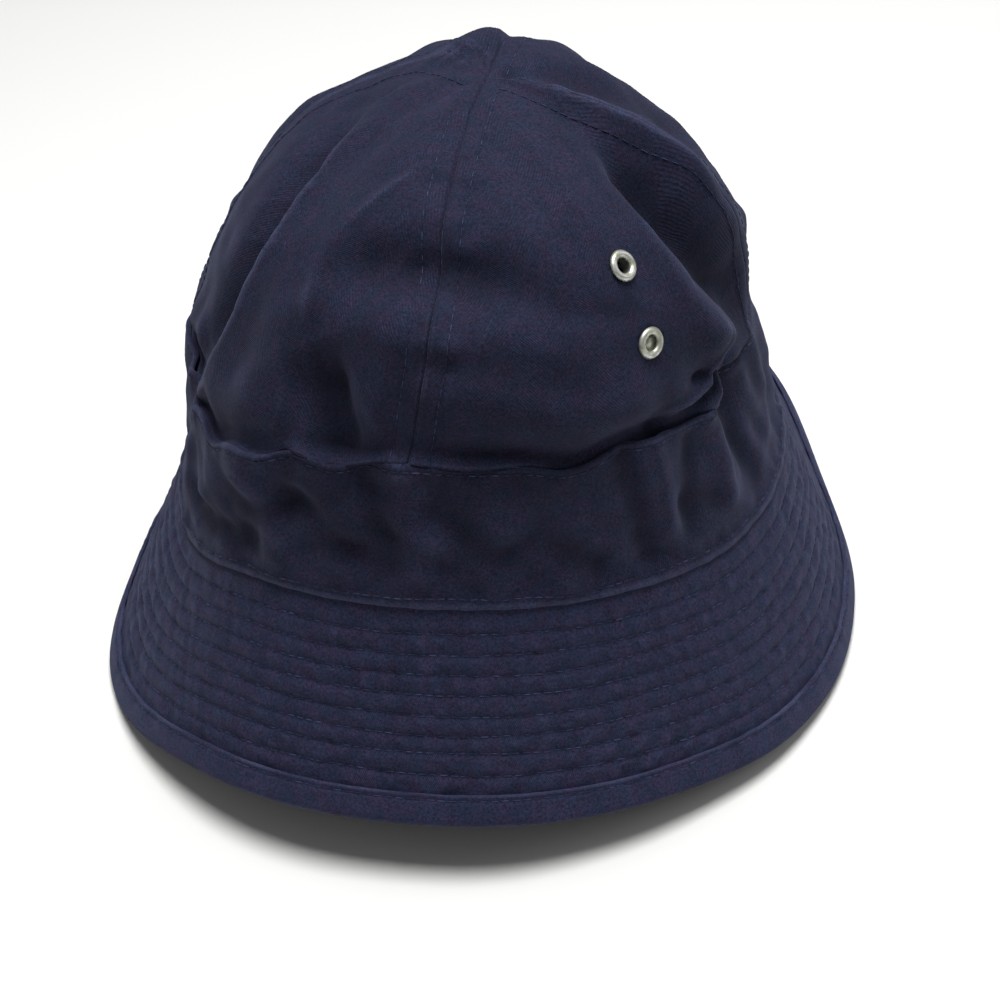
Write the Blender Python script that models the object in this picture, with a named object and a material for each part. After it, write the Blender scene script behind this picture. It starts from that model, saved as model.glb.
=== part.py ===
"""Bush hat: a four-panel cloth crown, a deep band, a stitched brim with a bound edge and metal eyelets.

The hat stands on the edge of its brim. Its front seam faces -Y, +X is on the right seen from the front,
and the origin lies on the floor under the middle of the brim's box.
"""

import math

import bmesh
import bpy
import numpy as np
from mathutils import Matrix, Vector
from mathutils.bvhtree import BVHTree

# Driving dimensions, in metres
HEAD_WIDTH = 0.1822
HEAD_LENGTH = 0.1908
BRIM_WIDTH = 0.0600
BRIM_THICKNESS = 0.0022
BINDING_WIDTH = 0.0095
BINDING_THICKNESS = 0.0011
BAND_HEIGHT = 0.0460
BAND_THICKNESS = 0.0020
CROWN_RISE = 0.0740
CROWN_THICKNESS = 0.0016
CROWN_TUCK = 0.0110
EYELET_DIAMETER = 0.0084
EYELET_HOLE = 0.0040
EYELET_METAL = 0.0006
EYELET_DOME = 0.0005
GAP = 0.0003
FLOOR_PRESS = 0.0004

# Where the crown's folds fade out, as shares of its surface length from the band's edge and from the top;
# what share of a dent goes on down inside the band; how far up the crown the band's folds run on, as a share
# of the same length; and over what share of its run a fold swells to its full height, from what share of it
# at its ends
FOOT_FADE = 0.04
TOP_FADE = 0.05
FOOT_DENT = 0.3
BAND_PULL = 0.3
END_FADE = 0.3
END_SWELL = 0.25

# Turn of the oval head opening about Z, in degrees
HEAD_TURN = -4.0

# Mesh fineness: columns in one panel, rows up the crown, the band and the brim, steps round a small ring
PANEL_COLUMNS = 18
CROWN_ROWS = 17
BAND_ROWS = 5
BRIM_ROWS = 4
RING_STEPS = 16
NOSE_STEPS = 4
BOW_STEPS = 6

# How the brim falls and stands, a row every 30 degrees from the front (-Y) toward +X.
# Columns: drop, the sine of the brim's slope; lift, the rim's height off the floor as a share of BRIM_WIDTH.
STANCE_COLUMNS = ("azimuth", "drop", "lift")
STANCE = (
    (-180, 0.69, 0.36),
    (-150, 0.74, 0.24),
    (-120, 0.84, 0.03),
    (-90, 0.90, 0.00),
    (-60, 0.86, 0.00),
    (-30, 0.88, 0.23),
    (0, 0.90, 0.28),
    (30, 0.91, 0.19),
    (60, 0.91, 0.05),
    (90, 0.93, 0.00),
    (120, 0.92, 0.04),
    (150, 0.78, 0.31),
)

# How far the band leans in, in degrees, a row every 30 degrees as above
BAND_LEAN_COLUMNS = ("azimuth", "lean")
BAND_LEAN = (
    (-180, 9.0),
    (-150, 7.0),
    (-120, 4.0),
    (-90, 8.0),
    (-60, 11.5),
    (-30, 5.5),
    (0, 6.5),
    (30, 4.5),
    (60, 8.5),
    (90, 12.5),
    (120, 12.5),
    (150, 14.0),
)

# Upright folds in the band, deepest at its upper edge and gone at the seam.
# Columns: azimuth; swell, how far it stands out (or in, if negative) and width, its half-width, both as
# shares of BAND_HEIGHT.
BAND_FOLD_COLUMNS = ("azimuth", "swell", "width")
BAND_FOLDS = (
    (-76, -0.06, 0.16),
    (-62, 0.05, 0.14),
    (-24, -0.03, 0.10),
    (44, -0.03, 0.10),
    (60, 0.07, 0.13),
    (73, -0.09, 0.14),
    (88, 0.05, 0.15),
    (150, -0.04, 0.22),
    (-160, 0.04, 0.25),
)

# Where the band's upper edge slumps, fading to nothing at the seam, in the same columns with the slump in
# place of the swell
BAND_SAGS = (
    (-44, 0.120, 0.25),
    (-30, 0.110, 0.25),
    (-14, 0.125, 0.30),
    (10, 0.085, 0.42),
    (27, 0.095, 0.22),
    (150, 0.060, 0.50),
    (-150, 0.050, 0.60),
)

# The crown's sections, evenly spaced along its surface from the band's edge to the top.
# Columns: rise, a share of CROWN_RISE; wide and long, shares of the band's upper edge across and from
# front to back; side and back, the section's shift as shares of HEAD_WIDTH.
SECTION_COLUMNS = ("rise", "wide", "long", "side", "back")
SECTIONS = (
    (0.000, 1.000, 1.000, 0.000, 0.000),
    (0.195, 0.978, 0.946, 0.018, -0.004),
    (0.408, 0.915, 0.868, 0.036, -0.009),
    (0.605, 0.798, 0.766, 0.045, -0.014),
    (0.770, 0.629, 0.636, 0.050, -0.016),
    (0.893, 0.436, 0.462, 0.055, -0.014),
    (0.968, 0.222, 0.245, 0.057, -0.011),
    (1.000, 0.000, 0.000, 0.057, -0.008),
)

# Folds pressed into the crown, each a run over its surface from one place to another.
# Columns: from and to, azimuth in degrees and height as a share of the crown's surface length; bow, how far
# the run's middle lies to the left of a straight run; swell, the fold's height (or depth, if negative) and
# width, its half-width, these three as shares of CROWN_RISE.
FOLD_COLUMNS = ("azimuth_from", "height_from", "azimuth_to", "height_to", "bow", "swell", "width")
FOLDS = (
    (-91, 0.77, -66, -0.07, 0.58, 0.050, 0.110),
    (-100, 0.73, -74, -0.07, 0.56, -0.105, 0.140),
    (66, 0.76, 88, 0.04, -0.14, -0.165, 0.160),
    (66, 0.77, 86, 0.02, -0.39, 0.030, 0.115),
    (76, 0.94, 84, 0.40, 0.00, 0.060, 0.115),
    (80, 0.86, 104, 0.72, 0.00, -0.040, 0.120),
    (-32, 0.44, 22, 0.38, 0.10, -0.078, 0.155),
    (-20, 0.33, 34, 0.27, 0.00, 0.040, 0.140),
    (-24, 0.28, -9, -0.10, 0.00, -0.110, 0.125),
    (-6, 0.20, 58, 0.09, 0.00, 0.052, 0.110),
    (-4, 0.05, 56, 0.00, 0.00, -0.064, 0.100),
    (-56, 0.12, -28, 0.12, 0.00, 0.034, 0.120),
    (58, 0.13, 76, 0.05, 0.00, -0.065, 0.110),
    (50, 0.21, 86, 0.13, 0.05, 0.045, 0.110),
    (-68, 0.13, -84, 0.03, 0.00, 0.044, 0.110),
    (-141, 0.92, 169, 0.81, 0.04, 0.066, 0.120),
    (-138, 0.90, -100, 0.58, 0.06, -0.018, 0.160),
    (119, 0.92, 117, 0.35, 0.02, -0.085, 0.200),
    (149, 0.72, 159, 0.12, -0.05, -0.060, 0.160),
    (-161, 0.64, -149, 0.04, 0.05, 0.044, 0.150),
    (-128, 0.56, -110, 0.19, 0.06, 0.041, 0.128),
)

# How far the crown's seams have slipped round it at the top, in degrees, a row every 30 degrees. They are
# straight up to the first of the two heights and have slipped all the way at the second.
SLIP_COLUMNS = ("azimuth", "slip")
SLIP = (
    (-180, -4.0),
    (-150, -20.0),
    (-120, -38.0),
    (-90, -48.0),
    (-60, -24.0),
    (-30, -8.0),
    (0, -3.0),
    (30, -4.0),
    (60, -9.0),
    (90, -14.0),
    (120, -12.0),
    (150, -6.0),
)
SLIP_START = 0.15
SLIP_END = 0.95

# How far from a place on the cloth its two faces are looked for, in cloth thicknesses
SEARCH_REACH = 6.0

# Panels by name, with the azimuth of each one's middle
PANELS = (
    ("crown_panel_front_left", -45.0),
    ("crown_panel_front_right", 45.0),
    ("crown_panel_back_right", 135.0),
    ("crown_panel_back_left", 225.0),
)

# Eyelets by name, with their azimuth and their height as a share of the crown's surface length
EYELETS = (
    ("eyelet_front_upper", "crown_panel_front_right", 42.3, 0.442),
    ("eyelet_front_lower", "crown_panel_front_right", 42.0, 0.252),
    ("eyelet_back_upper", "crown_panel_back_left", 222.0, 0.445),
    ("eyelet_back_lower", "crown_panel_back_left", 223.5, 0.255),
)


def column(table, names, name):
    """One named column of a table, as an array."""
    return np.array([row[names.index(name)] for row in table], float)


def smooth_step(value):
    """Rises smoothly from 0 to 1 as value goes from 0 to 1."""
    value = np.clip(value, 0.0, 1.0)
    return value * value * (3.0 - 2.0 * value)


def spline(before, start, end, after, part):
    """Point at a share of the way from start to end on a smooth curve through four points."""
    slope = end - before
    bend = 2.0 * before - 5.0 * start + 4.0 * end - after
    twist = 3.0 * (start - end) + after - before
    return start + 0.5 * part * (slope + part * (bend + part * twist))


def around(azimuth, values):
    """Smooth periodic value at an azimuth, from a column with evenly spaced rows that starts at -180."""
    count = len(values)
    place = (np.asarray(azimuth, float) + 180.0) / (360.0 / count)
    row = np.floor(place).astype(int)
    return spline(values[(row - 1) % count], values[row % count], values[(row + 1) % count],
                  values[(row + 2) % count], place - row)


def along(share, values):
    """Smooth value at a share of the way through a column, from its first row to its last."""
    count = len(values)
    place = np.clip(np.asarray(share, float), 0.0, 1.0) * (count - 1)
    row = np.minimum(np.floor(place).astype(int), count - 2)
    padded = np.concatenate([[2.0 * values[0] - values[1]], values, [2.0 * values[-1] - values[-2]]])
    return spline(padded[row], padded[row + 1], padded[row + 2], padded[row + 3], place - row)


def head_oval(azimuth):
    """The brim seam in plan: x, y and the outward normal's x and y."""
    turn = math.radians(HEAD_TURN)
    angle = np.radians(np.asarray(azimuth, float)) - turn
    sine, cosine = np.sin(angle), np.cos(angle)
    radius = 1.0 / np.sqrt((sine / (HEAD_WIDTH / 2)) ** 2 + (cosine / (HEAD_LENGTH / 2)) ** 2)
    x, y = radius * sine, -radius * cosine
    normal_x, normal_y = x / HEAD_WIDTH ** 2, y / HEAD_LENGTH ** 2
    size = np.hypot(normal_x, normal_y)
    normal_x, normal_y = normal_x / size, normal_y / size
    co, si = math.cos(turn), math.sin(turn)
    return co * x - si * y, si * x + co * y, co * normal_x - si * normal_y, si * normal_x + co * normal_y


def brim_slope(azimuth):
    """Sine and cosine of the brim's slope below the horizontal."""
    sine = np.clip(around(azimuth, column(STANCE, STANCE_COLUMNS, "drop")), 0.0, 1.0)
    return sine, np.sqrt(1.0 - sine * sine)


def nose_radius():
    """Half the thickness of the bound edge."""
    return BRIM_THICKNESS / 2 + GAP + BINDING_THICKNESS


def seam_height(azimuth):
    """Height of the brim seam above the floor."""
    sine, cosine = brim_slope(azimuth)
    lift = np.maximum(around(azimuth, column(STANCE, STANCE_COLUMNS, "lift")), 0.0)
    nose = lift * BRIM_WIDTH + nose_radius() - FLOOR_PRESS + GAP
    return nose + (BRIM_WIDTH - nose_radius()) * sine + BRIM_THICKNESS / 2 * cosine


def brim_point(azimuth, out, above):
    """Point on the brim: out is the distance from the seam down the slope, above is off its upper face."""
    x, y, normal_x, normal_y = head_oval(azimuth)
    sine, cosine = brim_slope(azimuth)
    reach = out * cosine + above * sine
    height = seam_height(azimuth) - GAP - out * sine + above * cosine
    return np.stack([x + reach * normal_x, y + reach * normal_y, height], -1)


def band_lean(azimuth):
    """How far the band leans in, in radians."""
    return np.radians(around(azimuth, column(BAND_LEAN, BAND_LEAN_COLUMNS, "lean")))


def band_sum(azimuth, table):
    """Sum at an azimuth of a table of places round the band, in metres."""
    total = np.zeros(np.shape(azimuth))
    radius = (HEAD_WIDTH + HEAD_LENGTH) / 4
    for place, share, width in table:
        turn = (azimuth - place + 180.0) % 360.0 - 180.0
        total += share * BAND_HEIGHT * np.exp(-(np.radians(turn) * radius / (width * BAND_HEIGHT)) ** 2)
    return total


def band_point(azimuth, up, inward=0.0, folded=1.0):
    """Point on the band: up is the distance from the seam up its outer face, inward is behind that face."""
    azimuth = np.asarray(azimuth, float)
    x, y, normal_x, normal_y = head_oval(azimuth)
    lean = band_lean(azimuth)
    share = up / BAND_HEIGHT
    up = up - folded * band_sum(azimuth, BAND_SAGS) * share
    swell = folded * band_sum(azimuth, BAND_FOLDS) * smooth_step(share)
    reach = swell - up * np.sin(lean) - inward * np.cos(lean)
    height = seam_height(azimuth) + up * np.cos(lean) - inward * np.sin(lean)
    return np.stack([x + reach * normal_x, y + reach * normal_y, height + 0.0 * x], -1)


def crown_inset():
    """How far the crown's outer face lies behind the band's outer face where it goes down inside it."""
    return BAND_THICKNESS + GAP + GAP / math.sqrt(2.0)


def band_top(azimuth, folded=1.0):
    """The ring where the crown leaves the band, inside the band's upper edge."""
    return band_point(azimuth, BAND_HEIGHT, crown_inset(), folded)


def band_top_height():
    """Mean height of that ring."""
    return float(np.mean(band_top(np.arange(-180.0, 180.0, 5.0))[:, 2]))


def crown_slant():
    """Length of the crown's surface from the band to the top, through its sections."""
    rise = column(SECTIONS, SECTION_COLUMNS, "rise") * CROWN_RISE
    wide = column(SECTIONS, SECTION_COLUMNS, "wide") * HEAD_WIDTH / 2
    return float(np.sum(np.hypot(np.diff(rise), np.diff(wide))))


def smooth_crown(azimuth, height, folded=0.0):
    """Point on the crown's outer face without its folds, height being a share of the surface length."""
    azimuth, height = np.broadcast_arrays(np.asarray(azimuth, float), np.asarray(height, float))
    base = band_top(azimuth, folded)
    part = {name: along(height, column(SECTIONS, SECTION_COLUMNS, name)) for name in SECTION_COLUMNS}
    level = base[..., 2] + (band_top_height() - base[..., 2]) * np.clip(height, 0.0, 1.0)
    x = base[..., 0] * part["wide"] + part["side"] * HEAD_WIDTH
    y = base[..., 1] * part["long"] + part["back"] * HEAD_WIDTH
    return np.stack([x, y, level + part["rise"] * CROWN_RISE], -1)


def plain_crown(azimuth, height):
    """Point on the smooth crown, with the band's folds running a little way up it."""
    return smooth_crown(azimuth, height, 1.0 - smooth_step(height / BAND_PULL))


def face_normal(face, azimuth, height, turn, climb):
    """Outward unit normal of a face(azimuth, height), over twice the given turn and climb."""
    low, high = np.clip(height - climb, 0.0, 1.0 - climb), np.clip(height + climb, climb, 1.0 - climb / 4)
    across = face(azimuth + turn, height) - face(azimuth - turn, height)
    upward = face(azimuth, high) - face(azimuth, low)
    normal = np.cross(across, upward)
    size = np.linalg.norm(normal, axis=-1, keepdims=True)
    return np.where(size > 1e-12, normal / np.maximum(size, 1e-12), [0.0, 0.0, 1.0])


def surface_place(azimuth, height, origin, radius):
    """Distances round and up the crown's face from an origin given by its azimuth and height."""
    turn = (azimuth - origin[0] + 180.0) % 360.0 - 180.0
    return np.stack(np.broadcast_arrays(np.radians(turn) * radius, (height - origin[1]) * crown_slant()), -1)


def fold_swell(azimuth, height):
    """How far all the folds together push the crown's face out."""
    swell = np.zeros(np.broadcast(azimuth, height).shape)
    for azimuth_from, height_from, azimuth_to, height_to, bow, share, width in FOLDS:
        middle = (height_from + height_to) / 2
        radius = along(middle, column(SECTIONS, SECTION_COLUMNS, "wide")) * HEAD_WIDTH / 2
        here = surface_place(azimuth, height, (azimuth_from, height_from), radius)
        run = surface_place(azimuth_to, height_to, (azimuth_from, height_from), radius)
        aside = np.array([-run[1], run[0]]) / np.linalg.norm(run) * bow * CROWN_RISE
        part = np.linspace(0.0, 1.0, BOW_STEPS + 1)[:, None]
        path = part * run + 4.0 * part * (1.0 - part) * aside
        away, way = np.full(swell.shape, np.inf), np.zeros(swell.shape)
        for number in range(BOW_STEPS):
            step = path[number + 1] - path[number]
            place = np.clip((here - path[number]) @ step / (step @ step), 0.0, 1.0)
            reach = np.linalg.norm(here - path[number] - place[..., None] * step, axis=-1)
            way = np.where(reach < away, (number + place) / BOW_STEPS, way)
            away = np.minimum(away, reach)
        ends = smooth_step(way / END_FADE) * smooth_step((1.0 - way) / END_FADE)
        size = share * CROWN_RISE * (END_SWELL + (1.0 - END_SWELL) * ends)
        swell += size * np.exp(-(away / (width * CROWN_RISE)) ** 2)
    foot = np.where(swell > 0.0, 0.0, FOOT_DENT)
    return swell * (foot + (1.0 - foot) * smooth_step(height / FOOT_FADE)) * smooth_step((1.0 - height) / TOP_FADE)


def slipped(azimuth, height):
    """Where a place on the crown lies once its seams have slipped."""
    slip = around(azimuth, column(SLIP, SLIP_COLUMNS, "slip"))
    return azimuth + slip * smooth_step((height - SLIP_START) / (SLIP_END - SLIP_START))


def open_crown(azimuth, height):
    """Point on the crown's outer face above the band."""
    where = slipped(azimuth, height)
    normal = face_normal(smooth_crown, where, height, 0.5, 0.004)
    return plain_crown(where, height) + normal * fold_swell(where, height)[..., None]


def crown_normal(azimuth, height):
    """Outward unit normal of the folded crown, over about one facet."""
    return face_normal(open_crown, azimuth, height, 90.0 / PANEL_COLUMNS / 2, 0.5 / CROWN_ROWS)


def crown_point(azimuth, height, inward=0.0):
    """Point on the crown's wall; below height 0 the wall goes down inside the band."""
    azimuth, height = np.broadcast_arrays(np.asarray(azimuth, float), np.asarray(height, float))
    above = np.clip(height, 0.0, 1.0)
    open_wall = open_crown(azimuth, above) - crown_normal(azimuth, above) * inward
    tuck = -np.clip(height, -1.0, 0.0) * crown_slant()
    dent = np.maximum(-fold_swell(azimuth, 0.0), 0.0) * (1.0 - tuck / CROWN_TUCK)
    hidden_wall = band_point(azimuth, BAND_HEIGHT - tuck, crown_inset() + dent + inward)
    return np.where((height < 0.0)[..., None], hidden_wall, open_wall)


def seam_shift(middle, height):
    """What moves a gore out between its two seams so that each keeps half a gap."""
    left, right = (np.radians(slipped(middle + side, np.maximum(height, 0.0))) for side in (-45.0, 45.0))
    way, half = (left + right) / 2, (right - left) / 2
    size = GAP / 2 / np.sin(half)
    return np.stack([size * np.sin(way), -size * np.cos(way), 0.0 * way], -1)


def base_shift():
    """What moves the middle of the rim's box onto the Z axis."""
    rim = brim_point(np.arange(-180.0, 180.0, 1.0), BRIM_WIDTH - nose_radius(), -BRIM_THICKNESS / 2)
    middle = (rim.min(axis=0) + rim.max(axis=0)) / 2
    return np.array([-middle[0], -middle[1], 0.0])


def cloth_material():
    """Very dark navy cotton twill."""
    return plain_material("navy_twill", (0.012, 0.014, 0.035), 0.85, 0.0)


def plain_material(name, colour, roughness, metallic):
    """A Principled material with one colour."""
    material = bpy.data.materials.new(name)
    material.use_nodes = True
    shader = material.node_tree.nodes["Principled BSDF"]
    shader.inputs["Base Color"].default_value = (*colour, 1.0)
    shader.inputs["Roughness"].default_value = roughness
    shader.inputs["Metallic"].default_value = metallic
    return material


def add_object(name, mesh_data, material):
    """Makes one shaded object from a bmesh whose faces point out."""
    bmesh.ops.recalc_face_normals(mesh_data, faces=mesh_data.faces)
    if mesh_data.calc_volume(signed=True) < 0.0:
        bmesh.ops.reverse_faces(mesh_data, faces=mesh_data.faces)
    mesh = bpy.data.meshes.new(name)
    mesh_data.to_mesh(mesh)
    mesh_data.free()
    mesh.materials.append(material)
    mesh.shade_smooth()
    mesh.set_sharp_from_angle(angle=math.radians(50))
    thing = bpy.data.objects.new(name, mesh)
    bpy.context.scene.collection.objects.link(thing)
    return thing


def closed_wall(outer, inner, wrap):
    """A closed cloth wall between two grids of points, joined round in azimuth if wrap is set."""
    rows, columns = outer.shape[:2]
    mesh_data = bmesh.new()
    faces = [[[mesh_data.verts.new(point) for point in row] for row in grid] for grid in (outer, inner)]
    last = columns if wrap else columns - 1
    for grid in faces:
        for low, high in zip(grid[:-1], grid[1:]):
            for i in range(last):
                k = (i + 1) % columns
                mesh_data.faces.new((low[i], low[k], high[k], high[i]))
    for row in (0, rows - 1):
        for i in range(last):
            k = (i + 1) % columns
            mesh_data.faces.new((faces[0][row][i], faces[0][row][k], faces[1][row][k], faces[1][row][i]))
    if not wrap:
        for side in (0, columns - 1):
            for j in range(rows - 1):
                mesh_data.faces.new((faces[0][j][side], faces[0][j + 1][side],
                                     faces[1][j + 1][side], faces[1][j][side]))
    bmesh.ops.remove_doubles(mesh_data, verts=mesh_data.verts, dist=0.000002)
    return mesh_data


def full_circle():
    """Azimuths of the columns round the hat, with one on every panel seam."""
    return np.arange(4 * PANEL_COLUMNS) * 90.0 / PANEL_COLUMNS


def make_panel(name, middle, material):
    """One gore of the crown, with half a gap along each of its seams."""
    azimuth = middle + np.linspace(-45.0, 45.0, PANEL_COLUMNS + 1)
    tuck = CROWN_TUCK / crown_slant()
    height = np.concatenate([[-tuck, -tuck / 2], np.linspace(0.0, 1.0, CROWN_ROWS + 1)])
    azimuth, height = np.meshgrid(azimuth, height)
    shift = base_shift() + seam_shift(middle, height)
    outer = crown_point(azimuth, height) + shift
    inner = crown_point(azimuth, height, CROWN_THICKNESS) + shift
    outer[-1] = outer[-1].mean(axis=0)
    inner[-1] = outer[-1] - np.array([0.0, 0.0, CROWN_THICKNESS])
    return add_object(name, closed_wall(outer, inner, False), material)


def make_band(material):
    """The band, a ring that leans in over the crown's lower edge."""
    azimuth, up = np.meshgrid(full_circle(), np.linspace(0.0, BAND_HEIGHT, BAND_ROWS))
    outer = band_point(azimuth, up)
    inner = band_point(azimuth, up, BAND_THICKNESS)
    level_cut = BAND_THICKNESS * np.tan(band_lean(azimuth[0]))
    inner[0] = band_point(azimuth[0], level_cut, BAND_THICKNESS)
    outer, inner = outer + base_shift(), inner + base_shift()
    return add_object("band", closed_wall(outer, inner, True), material)


def make_brim(material):
    """The brim's plate, cut level under the band and square at its outer edge."""
    cloth_width = BRIM_WIDTH - BINDING_THICKNESS - GAP
    azimuth, out = np.meshgrid(full_circle(), np.linspace(0.0, cloth_width, BRIM_ROWS))
    upper = brim_point(azimuth, out, 0.0)
    lower = brim_point(azimuth, out, -BRIM_THICKNESS)
    sine, cosine = brim_slope(azimuth[0])
    level_cut = BRIM_THICKNESS * cosine / sine
    lower[0] = brim_point(azimuth[0], -level_cut, -BRIM_THICKNESS)
    return add_object("brim", closed_wall(upper + base_shift(), lower + base_shift(), True), material)


def binding_section():
    """Outline of the folded tape: pairs of distance down the brim and distance above its upper face."""
    radius = nose_radius()
    start = BRIM_WIDTH - BINDING_WIDTH
    cloth_end = BRIM_WIDTH - BINDING_THICKNESS
    middle = -BRIM_THICKNESS / 2
    points = [(start, GAP), (start, GAP + BINDING_THICKNESS)]
    for step in range(NOSE_STEPS + 1):
        angle = math.pi / 2 - math.pi * step / NOSE_STEPS
        points.append((BRIM_WIDTH - radius + radius * math.cos(angle), middle + radius * math.sin(angle)))
    points += [(start, middle - radius), (start, -BRIM_THICKNESS - GAP)]
    points += [(cloth_end, -BRIM_THICKNESS - GAP), (cloth_end, GAP)]
    return points


def make_binding(material):
    """The tape round the brim's edge, pressed flat where it stands on the floor."""
    azimuth = full_circle()
    rings = np.stack([brim_point(azimuth, out, above) for out, above in binding_section()], 1)
    rings += base_shift()
    rings[..., 2] = np.maximum(rings[..., 2], 0.0)
    mesh_data = bmesh.new()
    grid = [[mesh_data.verts.new(point) for point in ring] for ring in rings]
    count = len(grid[0])
    for here, ahead in zip(grid, grid[1:] + grid[:1]):
        for i in range(count):
            k = (i + 1) % count
            mesh_data.faces.new((here[i], here[k], ahead[k], ahead[i]))
    return add_object("rim_binding", mesh_data, material)


def cloth_span(panel, place, normal):
    """Lowest and highest cloth under an eyelet, measured along its axis from place."""
    bpy.context.view_layer.update()
    tree = BVHTree.FromObject(panel, bpy.context.evaluated_depsgraph_get())
    side = normal.orthogonal().normalized()
    reach = SEARCH_REACH * CROWN_THICKNESS
    low, high = 0.0, -reach
    for share in (0.3, 0.7, 1.0):
        for step in range(RING_STEPS):
            spoke = Matrix.Rotation(2.0 * math.pi * step / RING_STEPS, 3, normal) @ side
            foot = place + spoke * (share * EYELET_DIAMETER / 2)
            above = tree.ray_cast(foot + normal * reach, -normal, 2.0 * reach)[0]
            below = tree.ray_cast(foot - normal * reach, normal, 2.0 * reach)[0]
            if above is not None:
                high = max(high, (above - place).dot(normal))
            if below is not None:
                low = min(low, (below - place).dot(normal))
    return low, high


def make_eyelet(name, panel, azimuth, height, material):
    """A metal eyelet clenched round a hole that it makes in its panel."""
    place = Vector(crown_point(azimuth, height) + base_shift())
    normal = Vector(crown_normal(azimuth, height))
    low, high = cloth_span(panel, place, normal)
    turn = Vector((0.0, 0.0, 1.0)).rotation_difference(normal).to_matrix().to_4x4()
    where = Matrix.Translation(place) @ turn

    barrel = EYELET_HOLE / 2 + EYELET_METAL
    flange = EYELET_DIAMETER / 2
    top, bottom = high + GAP, low - GAP
    section = (
        (EYELET_HOLE / 2, bottom - EYELET_METAL),
        (flange, bottom - EYELET_METAL),
        (flange, bottom),
        (barrel, bottom),
        (barrel, top),
        (flange, top),
        (flange - EYELET_DOME / 2, top + EYELET_DOME * 0.8),
        ((flange + barrel) / 2, top + EYELET_METAL + EYELET_DOME / 2),
        (barrel, top + EYELET_METAL),
        (EYELET_HOLE / 2, top),
    )
    mesh_data = bmesh.new()
    rings = []
    for step in range(RING_STEPS):
        angle = 2.0 * math.pi * step / RING_STEPS
        rings.append([mesh_data.verts.new(where @ Vector((r * math.cos(angle), r * math.sin(angle), z)))
                      for r, z in section])
    for here, ahead in zip(rings, rings[1:] + rings[:1]):
        for i in range(len(section)):
            k = (i + 1) % len(section)
            mesh_data.faces.new((here[i], here[k], ahead[k], ahead[i]))
    add_object(name, mesh_data, material)

    cutter_data = bmesh.new()
    depth = (high - low) + 2.0 * EYELET_METAL
    bmesh.ops.create_cone(cutter_data, cap_ends=True, segments=RING_STEPS, radius1=barrel + GAP,
                          radius2=barrel + GAP, depth=depth,
                          matrix=where @ Matrix.Translation((0.0, 0.0, (high + low) / 2)))
    cutter = add_object(name + "_hole", cutter_data, material)
    cutter.hide_render = True
    cutter.display_type = "WIRE"
    cut = panel.modifiers.new(name + "_hole", "BOOLEAN")
    cut.operation = "DIFFERENCE"
    cut.solver = "EXACT"
    cut.object = cutter


def main():
    for thing in list(bpy.context.scene.objects):
        bpy.data.objects.remove(thing, do_unlink=True)
    cloth = cloth_material()
    metal = plain_material("eyelet_metal", (0.36, 0.36, 0.30), 0.42, 1.0)
    make_binding(cloth)
    make_brim(cloth)
    make_band(cloth)
    panels = {name: make_panel(name, middle, cloth) for name, middle in PANELS}
    for name, panel, azimuth, height in EYELETS:
        make_eyelet(name, panels[panel], azimuth, height, metal)


main()
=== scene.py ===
"""Washed navy bush hat: herringbone twill crown and band, quilted brim, taped edge and dull metal eyelets.

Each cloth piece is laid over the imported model's own surface, with the seams, stitching, puckers and creases
that are too fine for it. Lengths are in metres, azimuths in degrees from the front seam (-Y) toward +X.
"""

import math

import bpy
import numpy as np
from bpy.props import FloatProperty, IntProperty, PointerProperty, StringProperty
from mathutils import Matrix, Vector


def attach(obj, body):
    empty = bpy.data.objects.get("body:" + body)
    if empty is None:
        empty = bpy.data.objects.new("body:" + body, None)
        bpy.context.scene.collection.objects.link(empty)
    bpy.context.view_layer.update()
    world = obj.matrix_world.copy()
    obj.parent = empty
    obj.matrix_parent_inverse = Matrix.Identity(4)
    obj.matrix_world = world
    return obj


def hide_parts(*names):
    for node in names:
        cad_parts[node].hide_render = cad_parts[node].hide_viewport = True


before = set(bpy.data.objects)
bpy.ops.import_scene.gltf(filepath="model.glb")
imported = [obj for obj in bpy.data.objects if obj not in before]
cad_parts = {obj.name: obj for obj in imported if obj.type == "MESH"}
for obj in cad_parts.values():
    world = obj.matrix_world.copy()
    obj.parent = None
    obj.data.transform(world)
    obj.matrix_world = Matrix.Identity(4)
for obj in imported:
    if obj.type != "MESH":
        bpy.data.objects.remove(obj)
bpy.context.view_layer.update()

bl_info = {
    "name": "Bush Hat Dressing",
    "version": (1, 0, 0),
    "blender": (4, 5, 0),
    "location": "View3D > Sidebar > Bush Hat",
    "description": "Lays twill, stitching, tape and eyelets over the bush hat's solids",
    "category": "Add Mesh",
}

# ---------------------------------------------------------------------------------------------------------
# The hat's shape, the same as the solids'

HEAD_WIDTH = 0.1822
HEAD_LENGTH = 0.1908
BRIM_WIDTH = 0.0600
BRIM_THICKNESS = 0.0022
BINDING_WIDTH = 0.0095
BINDING_THICKNESS = 0.0011
BAND_HEIGHT = 0.0460
BAND_THICKNESS = 0.0020
CROWN_RISE = 0.0740
CROWN_THICKNESS = 0.0016
CROWN_TUCK = 0.0110
GAP = 0.0003
FLOOR_PRESS = 0.0004

# Half the thickness of the bound edge, and how far the crown's outer face lies behind the band's
NOSE_RADIUS = BRIM_THICKNESS / 2 + GAP + BINDING_THICKNESS
CROWN_INSET = BAND_THICKNESS + GAP + GAP / math.sqrt(2.0)

# Where the crown's folds fade out, as shares of its surface length from the band's edge and from the top;
# what share of a dent goes on down inside the band; how far up the crown the band's folds run on; over what
# share of its run a fold swells to its full height, from what share of it at its ends; and in how many
# straight steps a bowed fold runs
FOOT_FADE = 0.04
TOP_FADE = 0.05
FOOT_DENT = 0.3
BAND_PULL = 0.3
END_FADE = 0.3
END_SWELL = 0.25
BOW_STEPS = 6

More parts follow.
